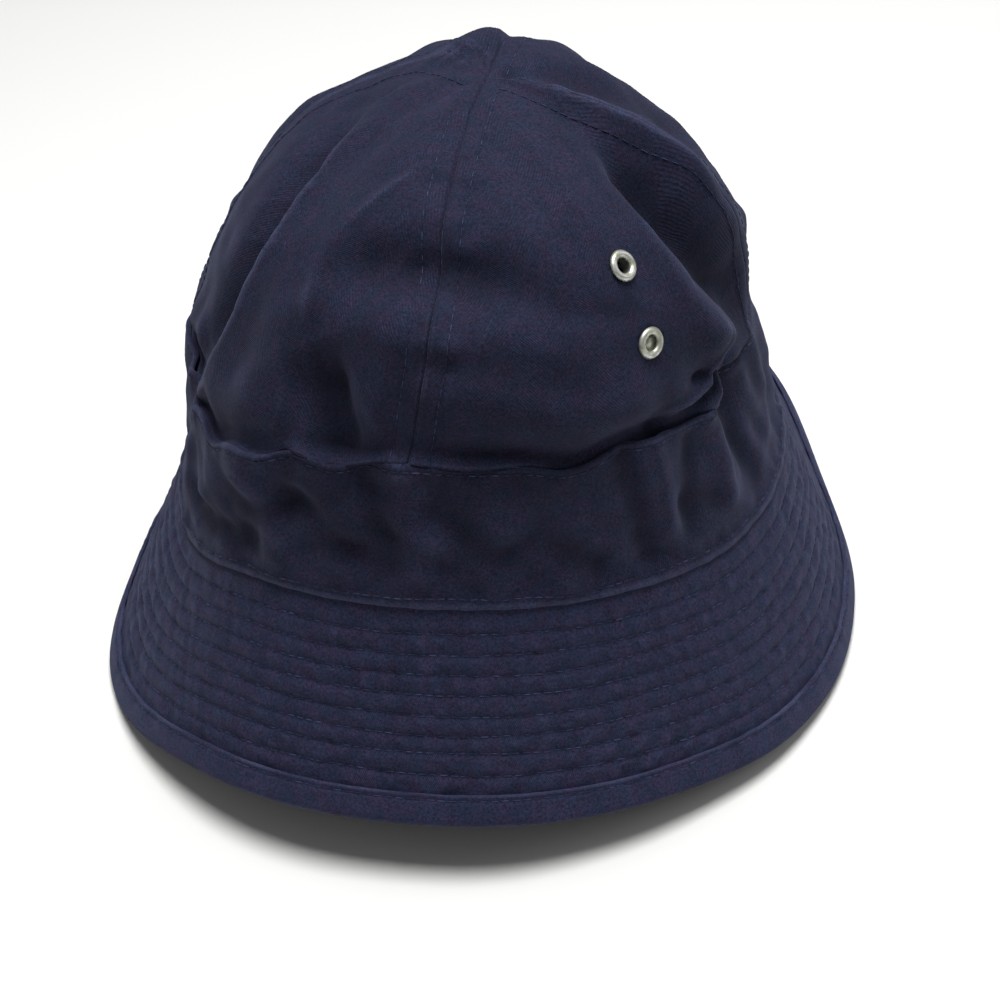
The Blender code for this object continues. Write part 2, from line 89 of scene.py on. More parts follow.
# Turn of the oval head opening about Z, in degrees, and its mean radius
HEAD_TURN = -4.0
HEAD_RADIUS = (HEAD_WIDTH + HEAD_LENGTH) / 4

# How the brim stands, every 30 degrees from -180: the sine of its slope, and how far its edge is lifted off
# the floor as a share of BRIM_WIDTH
BRIM_DROP = (0.69, 0.74, 0.84, 0.90, 0.86, 0.88, 0.90, 0.91, 0.91, 0.93, 0.92, 0.78)
RIM_LIFT = (0.36, 0.24, 0.03, 0.00, 0.00, 0.23, 0.28, 0.19, 0.05, 0.00, 0.04, 0.31)

# How far the band leans in, in degrees, every 30 degrees from -180
BAND_LEAN = (9.0, 7.0, 4.0, 8.0, 11.5, 5.5, 6.5, 4.5, 8.5, 12.5, 12.5, 14.0)

# Folds across the band. Columns: azimuth, then swell and half-width as shares of BAND_HEIGHT.
BAND_FOLDS = (
    (-76, -0.06, 0.16),
    (-62, 0.05, 0.14),
    (-24, -0.03, 0.10),
    (44, -0.03, 0.10),
    (60, 0.07, 0.13),
    (73, -0.09, 0.14),
    (88, 0.05, 0.15),
    (150, -0.04, 0.22),
    (-160, 0.04, 0.25),
)

# Where the band's upper edge slumps, in the same columns
BAND_SAGS = (
    (-44, 0.120, 0.25),
    (-30, 0.110, 0.25),
    (-14, 0.125, 0.30),
    (10, 0.085, 0.42),
    (27, 0.095, 0.22),
    (150, 0.060, 0.50),
    (-150, 0.050, 0.60),
)

# Sections of the crown, from the band up: rise as a share of CROWN_RISE, width and length as shares of the
# foot's, and how far the middle lies to the side and back, as shares of HEAD_WIDTH
SECTIONS = {
    "rise": (0.000, 0.195, 0.408, 0.605, 0.770, 0.893, 0.968, 1.000),
    "wide": (1.000, 0.978, 0.915, 0.798, 0.629, 0.436, 0.222, 0.000),
    "long": (1.000, 0.946, 0.868, 0.766, 0.636, 0.462, 0.245, 0.000),
    "side": (0.000, 0.018, 0.036, 0.045, 0.050, 0.055, 0.057, 0.057),
    "back": (0.000, -0.004, -0.009, -0.014, -0.016, -0.014, -0.011, -0.008),
}

# Folds in the crown. Columns: from and to, azimuth and height as a share of the crown's surface length; bow,
# how far the run's middle lies to the left of a straight run; swell, the fold's height (or depth, if
# negative) and its half-width, these three as shares of CROWN_RISE.
FOLDS = (
    (-91, 0.77, -66, -0.07, 0.58, 0.050, 0.110),
    (-100, 0.73, -74, -0.07, 0.56, -0.105, 0.140),
    (66, 0.76, 88, 0.04, -0.14, -0.165, 0.160),
    (66, 0.77, 86, 0.02, -0.39, 0.030, 0.115),
    (76, 0.94, 84, 0.40, 0.00, 0.060, 0.115),
    (80, 0.86, 104, 0.72, 0.00, -0.040, 0.120),
    (-32, 0.44, 22, 0.38, 0.10, -0.078, 0.155),
    (-20, 0.33, 34, 0.27, 0.00, 0.040, 0.140),
    (-24, 0.28, -9, -0.10, 0.00, -0.110, 0.125),
    (-6, 0.20, 58, 0.09, 0.00, 0.052, 0.110),
    (-4, 0.05, 56, 0.00, 0.00, -0.064, 0.100),
    (-56, 0.12, -28, 0.12, 0.00, 0.034, 0.120),
    (58, 0.13, 76, 0.05, 0.00, -0.065, 0.110),
    (50, 0.21, 86, 0.13, 0.05, 0.045, 0.110),
    (-68, 0.13, -84, 0.03, 0.00, 0.044, 0.110),
    (-141, 0.92, 169, 0.81, 0.04, 0.066, 0.120),
    (-138, 0.90, -100, 0.58, 0.06, -0.018, 0.160),
    (119, 0.92, 117, 0.35, 0.02, -0.085, 0.200),
    (149, 0.72, 159, 0.12, -0.05, -0.060, 0.160),
    (-161, 0.64, -149, 0.04, 0.05, 0.044, 0.150),
    (-128, 0.56, -110, 0.19, 0.06, 0.041, 0.128),
)

# How far the crown's seams have slipped round it at the top, in degrees, every 30 degrees from -180; they are
# straight up to the first of the two heights and have slipped all the way at the second
SLIP = (-4.0, -20.0, -38.0, -48.0, -24.0, -8.0, -3.0, -4.0, -9.0, -14.0, -12.0, -6.0)
SLIP_START = 0.15
SLIP_END = 0.95

# The gores. Columns: node, and azimuth of its middle.
PANELS = (
    ("crown_panel_front_left", -45.0),
    ("crown_panel_front_right", 45.0),
    ("crown_panel_back_right", 135.0),
    ("crown_panel_back_left", 225.0),
)

# The eyelets. Columns: node, gore, azimuth and height, and whether a disc closes the hole.
EYELETS = (
    ("eyelet_front_upper", "crown_panel_front_right", 42.3, 0.442, False),
    ("eyelet_front_lower", "crown_panel_front_right", 42.0, 0.252, True),
    ("eyelet_back_upper", "crown_panel_back_left", 222.0, 0.445, False),
    ("eyelet_back_lower", "crown_panel_back_left", 223.5, 0.255, False),
)

# ---------------------------------------------------------------------------------------------------------
# Finer forms, laid over the solids' shape

# Small creases in the crown, in the same columns as FOLDS
CREASES = (
    (-91, 0.77, -66, -0.07, 0.58, 0.020, 0.040),
    (66, 0.77, 86, 0.02, -0.39, 0.010, 0.050),
    (76, 0.94, 84, 0.40, 0.00, 0.026, 0.038),
    (66, 0.23, 45, 0.06, 0.10, 0.034, 0.032),
    (66, 0.17, 53, 0.04, 0.08, -0.055, 0.040),
    (70, 0.14, 60, -0.02, 0.00, 0.034, 0.026),
    (52, 0.12, 62, 0.10, 0.00, -0.030, 0.030),
    (20, 0.36, 44, 0.30, 0.02, -0.010, 0.050),
    (2, 0.06, 54, 0.02, 0.00, 0.026, 0.085),
    (-30, 0.52, -16, 0.73, 0.02, 0.014, 0.030),
    (-31, 0.47, -21, 0.14, -0.02, 0.011, 0.032),
    (-10, 0.27, 8, 0.24, 0.00, -0.012, 0.050),
    (-18.5, 0.24, -9.5, 0.03, 0.00, -0.030, 0.044),
    (-16, 0.25, -4, 0.04, 0.00, 0.012, 0.034),
    (104, 0.30, 112, 0.06, 0.00, 0.022, 0.045),
    (-104, 0.30, -110, 0.05, 0.00, 0.024, 0.040),
    (178, 0.22, 196, 0.16, 0.03, -0.020, 0.060),
)

# Creases in the band. Columns: from and to, azimuth and height as a share of BAND_HEIGHT; swell and width as
# shares of BAND_HEIGHT.
BAND_CREASES = (
    (-44, 0.46, -20, 0.62, -0.043, 0.150),
    (-56, 0.34, -32, 0.28, -0.051, 0.110),
    (-56, 0.52, -38, 0.44, 0.030, 0.120),
    (-34, 0.80, -24, 0.40, 0.025, 0.110),
    (-22, 0.62, -12, 0.50, -0.038, 0.120),
    (-15, 0.40, -4, 0.32, -0.038, 0.110),
    (-8, 0.98, -5, 0.50, -0.064, 0.105),
    (-1, 0.90, 4, 0.45, 0.030, 0.110),
    (3, 0.66, 14, 0.40, -0.043, 0.130),
    (14, 0.75, 20, 0.45, 0.025, 0.110),
    (20, 0.50, 30, 0.26, -0.043, 0.120),
    (28, 0.62, 34, 0.30, 0.024, 0.100),
    (37, 0.92, 40, 0.22, -0.047, 0.095),
    (44, 0.96, 46, 0.40, 0.036, 0.068),
    (52, 0.86, 50, 0.30, -0.034, 0.090),
    (50, 0.44, 62, 0.36, -0.030, 0.110),
    (-66, 0.80, -64, 0.40, 0.043, 0.090),
    (62, 0.80, 62, 0.35, 0.037, 0.090),
    (68, 0.95, 74, 0.25, -0.061, 0.120),
    (80, 0.80, 84, 0.35, 0.030, 0.090),
    (-96, 0.85, -88, 0.30, -0.037, 0.120),
    (130, 0.80, 152, 0.60, -0.038, 0.150),
    (196, 0.75, 216, 0.45, 0.034, 0.165),
)

# Rows of stitching down the brim, as shares of BRIM_WIDTH from the seam
BRIM_ROWS = (0.103, 0.200, 0.292, 0.386, 0.481, 0.570, 0.660, 0.757)

# Distances of the rows of stitching from the crown's seams and from the edges of band and tape, and of the rubbed
# line at the band's foot
SEAM_STITCH = 0.0052
BAND_TOP_STITCH = 0.0024
BAND_FOOT_STITCH = 0.0040
TAPE_STITCH = 0.0015
BAND_FOOT_RUB = 0.0022

# Thickness of the band's cloth at its upper edge, how far that edge leans in at most where the crown behind
# it is dented, and how far the crown's foot is drawn in behind it at the left, up to what height
BAND_LIP = 0.0012
BAND_LEAN_IN = 0.0034
LEFT_DRAW_IN = 0.0016
LEFT_DRAW_HEIGHT = 0.08

# How far the brim's cloth goes on past its seam, up inside the band
BRIM_TURN_IN = 0.0026

# Waves and puckers in the cloth, and unevenness of its wear. Columns: height, or strength of the wear; length of
# a wave; seed of its noise.
RIPPLES = {
    "crown_wave": (0.0007, 0.045, 1),
    "crown_rumple": (0.00022, 0.014, 2),
    "crown_stitch": (0.00026, 0.0075, 3),
    "band_wave": (0.0012, 0.022, 11),
    "band_rumple": (0.0004, 0.011, 12),
    "band_foot_stitch": (0.00025, 0.0060, 13),
    "band_top_stitch": (0.00022, 0.0055, 14),
    "band_edge": (0.0003, 0.030, 15),
    "band_wear": (0.5, 0.02, 16),
    "brim_row": (0.00022, 0.040, 20),
    "brim_pucker": (0.00020, 0.0058, 40),
    "brim_wave": (0.0007, 0.055, 60),
    "tape_stitch": (0.00016, 0.0065, 70),
    "tape_wear": (0.35, 0.018, 71),
}

# How far from a row of stitching its puckers reach
PUCKER_REACH = {"crown_stitch": 0.0045, "band_foot_stitch": 0.0040, "band_top_stitch": 0.0030,
                "tape_stitch": 0.0030}

# Marks along seams, edges and rows of stitching. Columns: height, less than 0 in a groove, and half-width.
MARKS = {
    "crown_seam": (-0.0009, 0.0006),
    "crown_stitch": (-0.00030, 0.0008),
    "band_foot": (-0.0016, 0.0007),
    "band_foot_stitch": (-0.00030, 0.0007),
    "band_top_stitch": (-0.00025, 0.0007),
    "brim_stitch": (-0.00060, 0.00100),
    "tape_stitch": (-0.00035, 0.0006),
}

# Paler places along them: rubbed edges and the crown seam's crest. Columns: strength, less than 0 for painted
# shade, and half-width.
RUBS = {
    "crown_seam": (0.42, 0.0016),
    "band_top": (0.3, 0.0007),
    "band_foot": (0.22, 0.0010),
    # painted shade in the groove of the band's foot stitching
    "band_foot_stitch": (-0.25, 0.0008),
    "tape_edge": (0.42, 0.0008),
    "rim": (0.22, 0.0020),
}

# How pale wear on ridges and painted shade in hollows follow the relief. Columns: strength, steps from point to
# compared point, and relief that gives most of it. Below them, how dark the painted shade in a deep fold is, and
# how deep that is.
RELIEF_WEAR_AND_SHADE = (
    (0.30, 1, 0.00012),
    (0.16, 5, 0.0016),
)
FOLD_PAINTED_SHADE = 0.7
FOLD_DEPTH = 0.009

# What the turned-in cloth at the crown's seams and at the band's edges adds, how far past the seam's stitching it
# reaches, and over what distance it levels off
SEAM_LAYERS = 0.00035
BAND_LAYERS = 0.0007
SEAM_MARGIN = 0.0009
LAYER_STEP = 0.0012

# Height at which the band is free of its seam, and how far its middle sinks in; the crown's height up to which it
# fills the place behind the band's lip, what is left open there, and the height at which the lip finds its dents
BAND_FREE = 0.010
BAND_HOLLOW = 0.0013
LIP_HEIGHT = 0.2
LIP_CLEARANCE = 0.0002
DENT_HEIGHT = 0.07

# Mean girth of the brim and of the tape as multiples of the seam's; spacing of the brim's rows of points as a
# share of its columns'; how much closer together a gore's columns are near its seams, of 1; how far gores are
# drawn apart, as a share of GAP; and the distance within which points are one
BRIM_GIRTH = 1.15
TAPE_GIRTH = 1.3
BRIM_ROW_SPACING = 0.69
SEAM_CROWDING = 0.55
GORE_PULL = 0.25
MERGE_DISTANCE = 0.00002

# Points along a row of stitching that runs all the way round and along one beside a seam of the crown; where
# the latter starts and ends, and how far round from the seam it may get, in degrees
ROUND_POINTS = 1500
SEAM_POINTS = 400
SEAM_ROW_START = 0.01
SEAM_ROW_END = 0.955
SEAM_ROW_TURN = 44.0

# Patches over which the cloth's normal is taken, in degrees and along the other way, at a stitch and an eyelet
STITCH_PATCH = (0.3, 0.0005)
EYELET_PATCH = (1.2, 0.02)

# Share of a stitch's pitch that its direction is taken over, how far a stitch stands off the cloth as a share
# of its width, and how wide the crown's are as a share of the others
STITCH_CHORD = 0.76
STITCH_STAND = 0.2
FINE_STITCH = 0.7

# How far an eyelet's flange covers the cloth round its hole, and its outline. Columns: from the bore, 0, to the
# flange's edge, 1; how far beyond that; and height above the cloth.
EYELET_COVER = 0.0012
EYELET_OUTLINE = (
    (0.0, 0.0003, -0.0026),
    (0.0, 0.0006, -0.0030),
    (1.0, 0.0, -0.0026),
    (1.0, 0.0, -0.0021),
    (0.0, 0.0007, -0.0019),
    (0.0, 0.0007, 0.0002),
    (1.0, -0.0002, 0.0001),
    (1.0, 0.0, 0.0003),
    (1.0, -0.0003, 0.0008),
    (0.5, 0.0003, 0.0012),
    (0.0, 0.0006, 0.0011),
    (0.0, 0.0001, 0.0006),
    (0.0, 0.0, 0.0001),
    (0.0, 0.0003, -0.0003),
)

# The cloths. Columns: material; width of its stripes and pitch of its lines as shares of the settings'; slope of
# the lines; and how much lighter its colour is made, as painted light matching each piece's lit tone.
CLOTHS = {
    "crown": ("washed_herringbone_crown", 1.0, 1.0, 1.15, 1.0),
    "band": ("washed_herringbone_band", 1.0, 1.0, 1.6, 1.22),
    "brim": ("washed_herringbone_brim", 0.8, 1.0, 1.9, 1.55),
    "tape": ("washed_twill_tape", 0.9, 1.15, 3.4, 1.75),
}

# The lights. Columns: name, place, what it points at, diameter and the setting that holds its power.
LIGHTS = (
    ("softbox_top", (0.05, 0.05, 1.15), (0.0, 0.0, 0.05), 0.7, "top_light"),
    ("fill_front", (0.10, -1.30, 0.95), (0.0, 0.0, 0.08), 0.9, "fill_light"),
    ("fill_right", (1.25, 0.35, 0.75), (0.02, 0.0, 0.12), 0.9, "side_light"),
)

# What the camera looks at: how far to the right of the hat's seam oval, and how high
TARGET_RIGHT = 0.00424
TARGET_HEIGHT = 0.03326

BODY = "root"


def smooth_step(value):
    """Rises smoothly from 0 to 1 as value goes from 0 to 1."""
    value = np.clip(value, 0.0, 1.0)
    return value * value * (3.0 - 2.0 * value)


def bell(value):
    """Falls smoothly from 1 at 0, and is small past 2."""
    return np.exp(-np.square(value))


def spline(before, start, end, after, part):
    """Point at a share of the way from start to end on a smooth curve through four points."""
    slope = end - before
    bend = 2.0 * before - 5.0 * start + 4.0 * end - after
    twist = 3.0 * (start - end) + after - before
    return start + 0.5 * part * (slope + part * (bend + part * twist))


def around(azimuth, values):
    """Smooth periodic value at an azimuth, from a column with evenly spaced rows that starts at -180."""
    values, count = np.array(values), len(values)
    place = (np.asarray(azimuth, float) + 180.0) / (360.0 / count)
    row = np.floor(place).astype(int)
    return spline(values[(row - 1) % count], values[row % count], values[(row + 1) % count],
                  values[(row + 2) % count], place - row)


def along(share, values):
    """Smooth value at a share of the way through a column, from its first row to its last."""
    count = len(values)
    place = np.clip(np.asarray(share, float), 0.0, 1.0) * (count - 1)
    row = np.minimum(np.floor(place).astype(int), count - 2)
    padded = np.concatenate([[2.0 * values[0] - values[1]], values, [2.0 * values[-1] - values[-2]]])
    return spline(padded[row], padded[row + 1], padded[row + 2], padded[row + 3], place - row)


def cloth_noise(points, scale, seed):
    """Smooth noise between about -1 and 1, with waves of about one length, the same each run."""
    rng = np.random.default_rng(seed)
    value = np.zeros(points.shape[:-1])
    waves = 14
    for _ in range(waves):
        way = rng.normal(size=3)
        way *= 2.0 * math.pi / (scale * rng.uniform(0.7, 1.5)) / np.linalg.norm(way)
        value += np.sin(points @ way + rng.uniform(0.0, 2.0 * math.pi))
    return value / math.sqrt(waves)


def ripple(points, name, number=0):
    """Height at some points of one kind of wave or pucker; number tells rows of the same kind apart."""
    height, length, seed = RIPPLES[name]
    return height * cloth_noise(points, length, seed + number)


def pucker(points, away, name):
    """Puckers beside a row of stitching, at a distance from it."""
    return ripple(points, name) * bell(away / PUCKER_REACH[name])


def mark(away, name, table=MARKS):
    """Height of a mark, or strength of a rubbed place, at a distance from its middle."""
    height, width = table[name]
    return height * bell(away / width)


def arc(azimuth, origin, radius):
    """Distance round a circle from an origin's azimuth, less than 0 the other way."""
    return np.radians((azimuth - origin + 180.0) % 360.0 - 180.0) * radius


def nearest(here, run):
    """Where places lie nearest to a straight run from the origin: the share of the run, and how far off it."""
    share = np.clip(here @ run / (run @ run), 0.0, 1.0)
    return share, np.linalg.norm(here - share[..., None] * run, axis=-1)


def to_side(azimuth):
    """0 at the front and back, and 1 at the sides."""
    return np.square(np.sin(np.radians(azimuth)))


def head_oval(azimuth):
    """The brim seam in plan: x, y and the outward normal's x and y."""
    turn = math.radians(HEAD_TURN)
    angle = np.radians(np.asarray(azimuth, float)) - turn
    sine, cosine = np.sin(angle), np.cos(angle)
    radius = 1.0 / np.sqrt((sine / (HEAD_WIDTH / 2)) ** 2 + (cosine / (HEAD_LENGTH / 2)) ** 2)
    x, y = radius * sine, -radius * cosine
    normal_x, normal_y = x / HEAD_WIDTH ** 2, y / HEAD_LENGTH ** 2
    size = np.hypot(normal_x, normal_y)
    normal_x, normal_y = normal_x / size, normal_y / size
    co, si = math.cos(turn), math.sin(turn)
    return co * x - si * y, si * x + co * y, co * normal_x - si * normal_y, si * normal_x + co * normal_y


def brim_slope(azimuth):
    """Sine and cosine of the brim's slope below the horizontal."""
    sine = np.clip(around(azimuth, BRIM_DROP), 0.0, 1.0)
    return sine, np.sqrt(1.0 - sine * sine)


def rim_lift(azimuth):
    """How far the rim is lifted off the floor, as a share of BRIM_WIDTH."""
    return np.maximum(around(azimuth, RIM_LIFT), 0.0)


def seam_height(azimuth):
    """Height of the brim seam above the floor."""
    sine, cosine = brim_slope(azimuth)
    nose = rim_lift(azimuth) * BRIM_WIDTH + NOSE_RADIUS - FLOOR_PRESS + GAP
    return nose + (BRIM_WIDTH - NOSE_RADIUS) * sine + BRIM_THICKNESS / 2 * cosine


def brim_point(azimuth, out, above):
    """Point on the brim: out is the distance from the seam down the slope, above is off its upper face."""
    x, y, normal_x, normal_y = head_oval(azimuth)
    sine, cosine = brim_slope(azimuth)
    reach = out * cosine + above * sine
    height = seam_height(azimuth) - GAP - out * sine + above * cosine
    return np.stack([x + reach * normal_x, y + reach * normal_y, height], -1)


def band_sum(azimuth, table):
    """Sum at an azimuth of a table of places round the band, in metres."""
    total = np.zeros(np.shape(azimuth))
    for place, share, width in table:
        total += share * BAND_HEIGHT * bell(arc(azimuth, place, HEAD_RADIUS) / (width * BAND_HEIGHT))
    return total


def band_point(azimuth, up, inward=0.0, folded=1.0):
    """Point on the band: up is the distance from the seam up its outer face, inward is behind that face."""
    azimuth = np.asarray(azimuth, float)
    x, y, normal_x, normal_y = head_oval(azimuth)
    lean = np.radians(around(azimuth, BAND_LEAN))
    share = up / BAND_HEIGHT
    up = up - folded * band_sum(azimuth, BAND_SAGS) * share
    swell = folded * band_sum(azimuth, BAND_FOLDS) * smooth_step(share)
    reach = swell - up * np.sin(lean) - inward * np.cos(lean)
    height = seam_height(azimuth) + up * np.cos(lean) - inward * np.sin(lean)
    return np.stack([x + reach * normal_x, y + reach * normal_y, height + 0.0 * x], -1)


def band_top(azimuth, folded=1.0):
    """The ring where the crown leaves the band, inside the band's upper edge."""
    return band_point(azimuth, BAND_HEIGHT, CROWN_INSET, folded)


def band_top_height():
    """Mean height of that ring."""
    return float(np.mean(band_top(np.arange(-180.0, 180.0, 5.0))[:, 2]))


def crown_slant():
    """Length of the crown's surface from the band to the top, through its sections."""
    rise = np.array(SECTIONS["rise"]) * CROWN_RISE
    wide = np.array(SECTIONS["wide"]) * HEAD_WIDTH / 2
    return float(np.sum(np.hypot(np.diff(rise), np.diff(wide))))


def smooth_crown(azimuth, height, folded=0.0):
    """Point on the crown's outer face without its folds, height being a share of the surface length; folded
    is how much of the band's folds it has."""
    azimuth, height = np.broadcast_arrays(np.asarray(azimuth, float), np.asarray(height, float))
    base = band_top(azimuth, folded)
    part = {name: along(height, values) for name, values in SECTIONS.items()}
    level = base[..., 2] + (band_top_height() - base[..., 2]) * np.clip(height, 0.0, 1.0)
    x = base[..., 0] * part["wide"] + part["side"] * HEAD_WIDTH
    y = base[..., 1] * part["long"] + part["back"] * HEAD_WIDTH
    return np.stack([x, y, level + part["rise"] * CROWN_RISE], -1)


def crown_normal(azimuth, height):
    """Outward unit normal of the smooth crown."""
    turn, climb = 0.5, 0.004
    low, high = np.clip(height - climb, 0.0, 1.0 - climb), np.clip(height + climb, climb, 1.0 - climb / 4)
    across = smooth_crown(azimuth + turn, height) - smooth_crown(azimuth - turn, height)
    upward = smooth_crown(azimuth, high) - smooth_crown(azimuth, low)
    normal = np.cross(across, upward)
    size = np.linalg.norm(normal, axis=-1, keepdims=True)
    return np.where(size > 1e-12, normal / np.maximum(size, 1e-12), [0.0, 0.0, 1.0])


def surface_place(azimuth, height, origin, radius):
    """Distances round and up the crown's face from an origin given by its azimuth and height."""
    return np.stack(np.broadcast_arrays(arc(azimuth, origin[0], radius), (height - origin[1]) * crown_slant()), -1)


def crown_radius(height):
    """Half the crown's width at a height."""
    return along(height, SECTIONS["wide"]) * HEAD_WIDTH / 2


def fold_swell(azimuth, height, folds):
    """How far folds together push the crown's face out."""
    swell = np.zeros(np.broadcast(azimuth, height).shape)
    for azimuth_from, height_from, azimuth_to, height_to, bow, share, width in folds:
        radius = crown_radius((height_from + height_to) / 2)
        here = surface_place(azimuth, height, (azimuth_from, height_from), radius)
        run = surface_place(azimuth_to, height_to, (azimuth_from, height_from), radius)
        aside = np.array([-run[1], run[0]]) / np.linalg.norm(run) * bow * CROWN_RISE
        part = np.linspace(0.0, 1.0, BOW_STEPS + 1)[:, None]
        path = part * run + 4.0 * part * (1.0 - part) * aside
        away, way = np.full(swell.shape, np.inf), np.zeros(swell.shape)
        for number in range(BOW_STEPS):
            place, reach = nearest(here - path[number], path[number + 1] - path[number])
            way = np.where(reach < away, (number + place) / BOW_STEPS, way)
            away = np.minimum(away, reach)
        ends = smooth_step(way / END_FADE) * smooth_step((1.0 - way) / END_FADE)
        swell += share * CROWN_RISE * (END_SWELL + (1.0 - END_SWELL) * ends) * bell(away / (width * CROWN_RISE))
    foot = np.where(swell > 0.0, 0.0, FOOT_DENT)
    return swell * (foot + (1.0 - foot) * smooth_step(height / FOOT_FADE)) * smooth_step((1.0 - height) / TOP_FADE)


def slipped(azimuth, height):
    """Where a place on the crown lies once its seams have slipped."""
    slip = around(azimuth, SLIP)
    return azimuth + slip * smooth_step((height - SLIP_START) / (SLIP_END - SLIP_START))


def base_shift():
    """What moves the middle of the rim's box onto the Z axis."""
    rim = brim_point(np.arange(-180.0, 180.0, 1.0), BRIM_WIDTH - NOSE_RADIUS, -BRIM_THICKNESS / 2)
    middle = (rim.min(axis=0) + rim.max(axis=0)) / 2
    return np.array([-middle[0], -middle[1], 0.0])


# ---------------------------------------------------------------------------------------------------------
# The dressed surfaces, with seams, puckers and creases

def seam_distance(azimuth, height):
    """Distance over the cloth from the nearest crown seam."""
    turn = np.abs((azimuth + 45.0) % 90.0 - 45.0)
    return np.radians(turn) * crown_radius(height)


def crown_face(azimuth, height):
    """Point on the dressed crown; below height 0 the cloth goes down inside the band."""
    azimuth, height = np.broadcast_arrays(np.asarray(azimuth, float), np.asarray(height, float))
    open_height = np.clip(height, 0.0, 1.0)
    where = slipped(azimuth, open_height)
    place = smooth_crown(where, open_height, 1.0 - smooth_step(open_height / BAND_PULL))
    normal = crown_normal(where, open_height)
    swell = fold_swell(where, open_height, FOLDS) + fold_swell(where, open_height, CREASES)
    free = smooth_step(open_height / FOOT_FADE)
    swell += (BAND_THICKNESS - BAND_LIP) * (1.0 - smooth_step(open_height / LIP_HEIGHT))
    to_left = np.clip(-1.5 * np.sin(np.radians(azimuth)), 0.0, 1.0)
    swell -= LEFT_DRAW_IN * (1.0 - smooth_step(open_height / LEFT_DRAW_HEIGHT)) * to_left
    swell += free * (ripple(place, "crown_wave") + ripple(place, "crown_rumple"))
    from_seam = seam_distance(azimuth, open_height)
    pressed = 1.0 - 0.75 * to_side(azimuth)
    from_stitch = from_seam - SEAM_STITCH
    sewn = mark(from_stitch, "crown_stitch") + pucker(place, from_stitch, "crown_stitch")
    swell += SEAM_LAYERS * smooth_step((SEAM_MARGIN - from_stitch) / LAYER_STEP)
    swell += pressed * (mark(from_seam, "crown_seam") + free * sewn)
    open_wall = place + normal * swell[..., None]
    tuck = -np.clip(height, -1.0, 0.0) * crown_slant()
    dent = np.maximum(-fold_swell(azimuth, 0.0, FOLDS), 0.0) * (1.0 - tuck / CROWN_TUCK)
    pushed = np.maximum(-band_crease(azimuth, BAND_HEIGHT - tuck), 0.0)
    inset = CROWN_INSET - BAND_THICKNESS + BAND_LIP + LIP_CLEARANCE
    hidden_wall = band_point(azimuth, BAND_HEIGHT - tuck, inset + np.maximum(dent, pushed))
    return np.where((height < 0.0)[..., None], hidden_wall, open_wall) + base_shift()


def band_crease(azimuth, up):
    """How far the band's small creases push its face out."""
    stand_off = np.clip(-fold_swell(azimuth, DENT_HEIGHT, FOLDS), 0.0, BAND_LEAN_IN)
    swell = -stand_off * smooth_step((up / BAND_HEIGHT - 0.5) / 0.5)
    for azimuth_from, up_from, azimuth_to, up_to, share, width in BAND_CREASES:
        turn = arc(azimuth, azimuth_from, HEAD_RADIUS)
        here = np.stack(np.broadcast_arrays(turn, up - up_from * BAND_HEIGHT), -1)
        run = np.array([arc(azimuth_to, azimuth_from, HEAD_RADIUS), (up_to - up_from) * BAND_HEIGHT])
        _, away = nearest(here, run)
        swell += share * BAND_HEIGHT * bell(away / (width * BAND_HEIGHT))
    return swell


def band_face(azimuth, up):
    """Point on the dressed band's outer face."""
    azimuth, up = np.broadcast_arrays(np.asarray(azimuth, float), np.asarray(up, float))
    place = band_point(azimuth, up)
    _, _, normal_x, normal_y = head_oval(azimuth)
    held = smooth_step(up / BAND_FREE)
    swell = band_crease(azimuth, up) * held - BAND_HOLLOW * np.sin(np.pi * up / BAND_HEIGHT)
    settled = 1.0 - 0.7 * smooth_step((up / BAND_HEIGHT - 0.7) / 0.3)
    swell += held * settled * (ripple(place * [1.0, 1.0, 0.6], "band_wave") + ripple(place, "band_rumple"))
    from_foot, from_top = up - BAND_FOOT_STITCH, BAND_HEIGHT - up - BAND_TOP_STITCH
    for away, name in ((from_foot, "band_foot_stitch"), (from_top, "band_top_stitch")):
        swell += mark(away, name) + pucker(place, away, name)
    swell += mark(up, "band_foot") + BAND_LAYERS * smooth_step(1.0 - from_foot / LAYER_STEP)
    swell -= BAND_LAYERS * smooth_step(1.0 - (BAND_HEIGHT - up) / LAYER_STEP)
    place = place + np.stack([normal_x * swell, normal_y * swell, np.zeros_like(swell)], -1)
    place[..., 2] += ripple(place, "band_edge") * smooth_step(up / BAND_HEIGHT)
    return place + base_shift()


def brim_row_out(azimuth, share, number):
    """Distance of one row of stitching from the seam, a little unsteady as a sewn row is."""
    ring = brim_point(azimuth, share * BRIM_WIDTH, 0.0)
    return share * BRIM_WIDTH + ripple(ring, "brim_row", number)


def quilting(azimuth, out):
    """How far the brim's cloth swells between its rows of stitching, with its puckers."""
    place = brim_point(azimuth, out, 0.0)
    swell = np.zeros(out.shape)
    for number, share in enumerate(BRIM_ROWS):
        swell += mark(out - brim_row_out(azimuth, share, number), "brim_stitch")
    return swell + ripple(place, "brim_pucker") * smooth_step(out / 0.004)


def brim_wave(azimuth, out):
    """Slow waves in the brim, none at its seam and least where it rests."""
    ring = brim_point(azimuth, 0.5 * BRIM_WIDTH, 0.0)
    free = 0.35 + 0.65 * smooth_step(rim_lift(azimuth) / 0.15)
    return free * smooth_step(out / (0.5 * BRIM_WIDTH)) * ripple(ring, "brim_wave")


def brim_face(azimuth, out, above):
    """Point on the dressed brim, above being off its upper face."""
    azimuth, out = np.broadcast_arrays(np.asarray(azimuth, float), np.asarray(out, float))
    place = brim_point(azimuth, out, above + brim_wave(azimuth, out)) + base_shift()
    place[..., 2] = np.maximum(place[..., 2], 0.0)
    return place


# ---------------------------------------------------------------------------------------------------------
# Mesh helpers

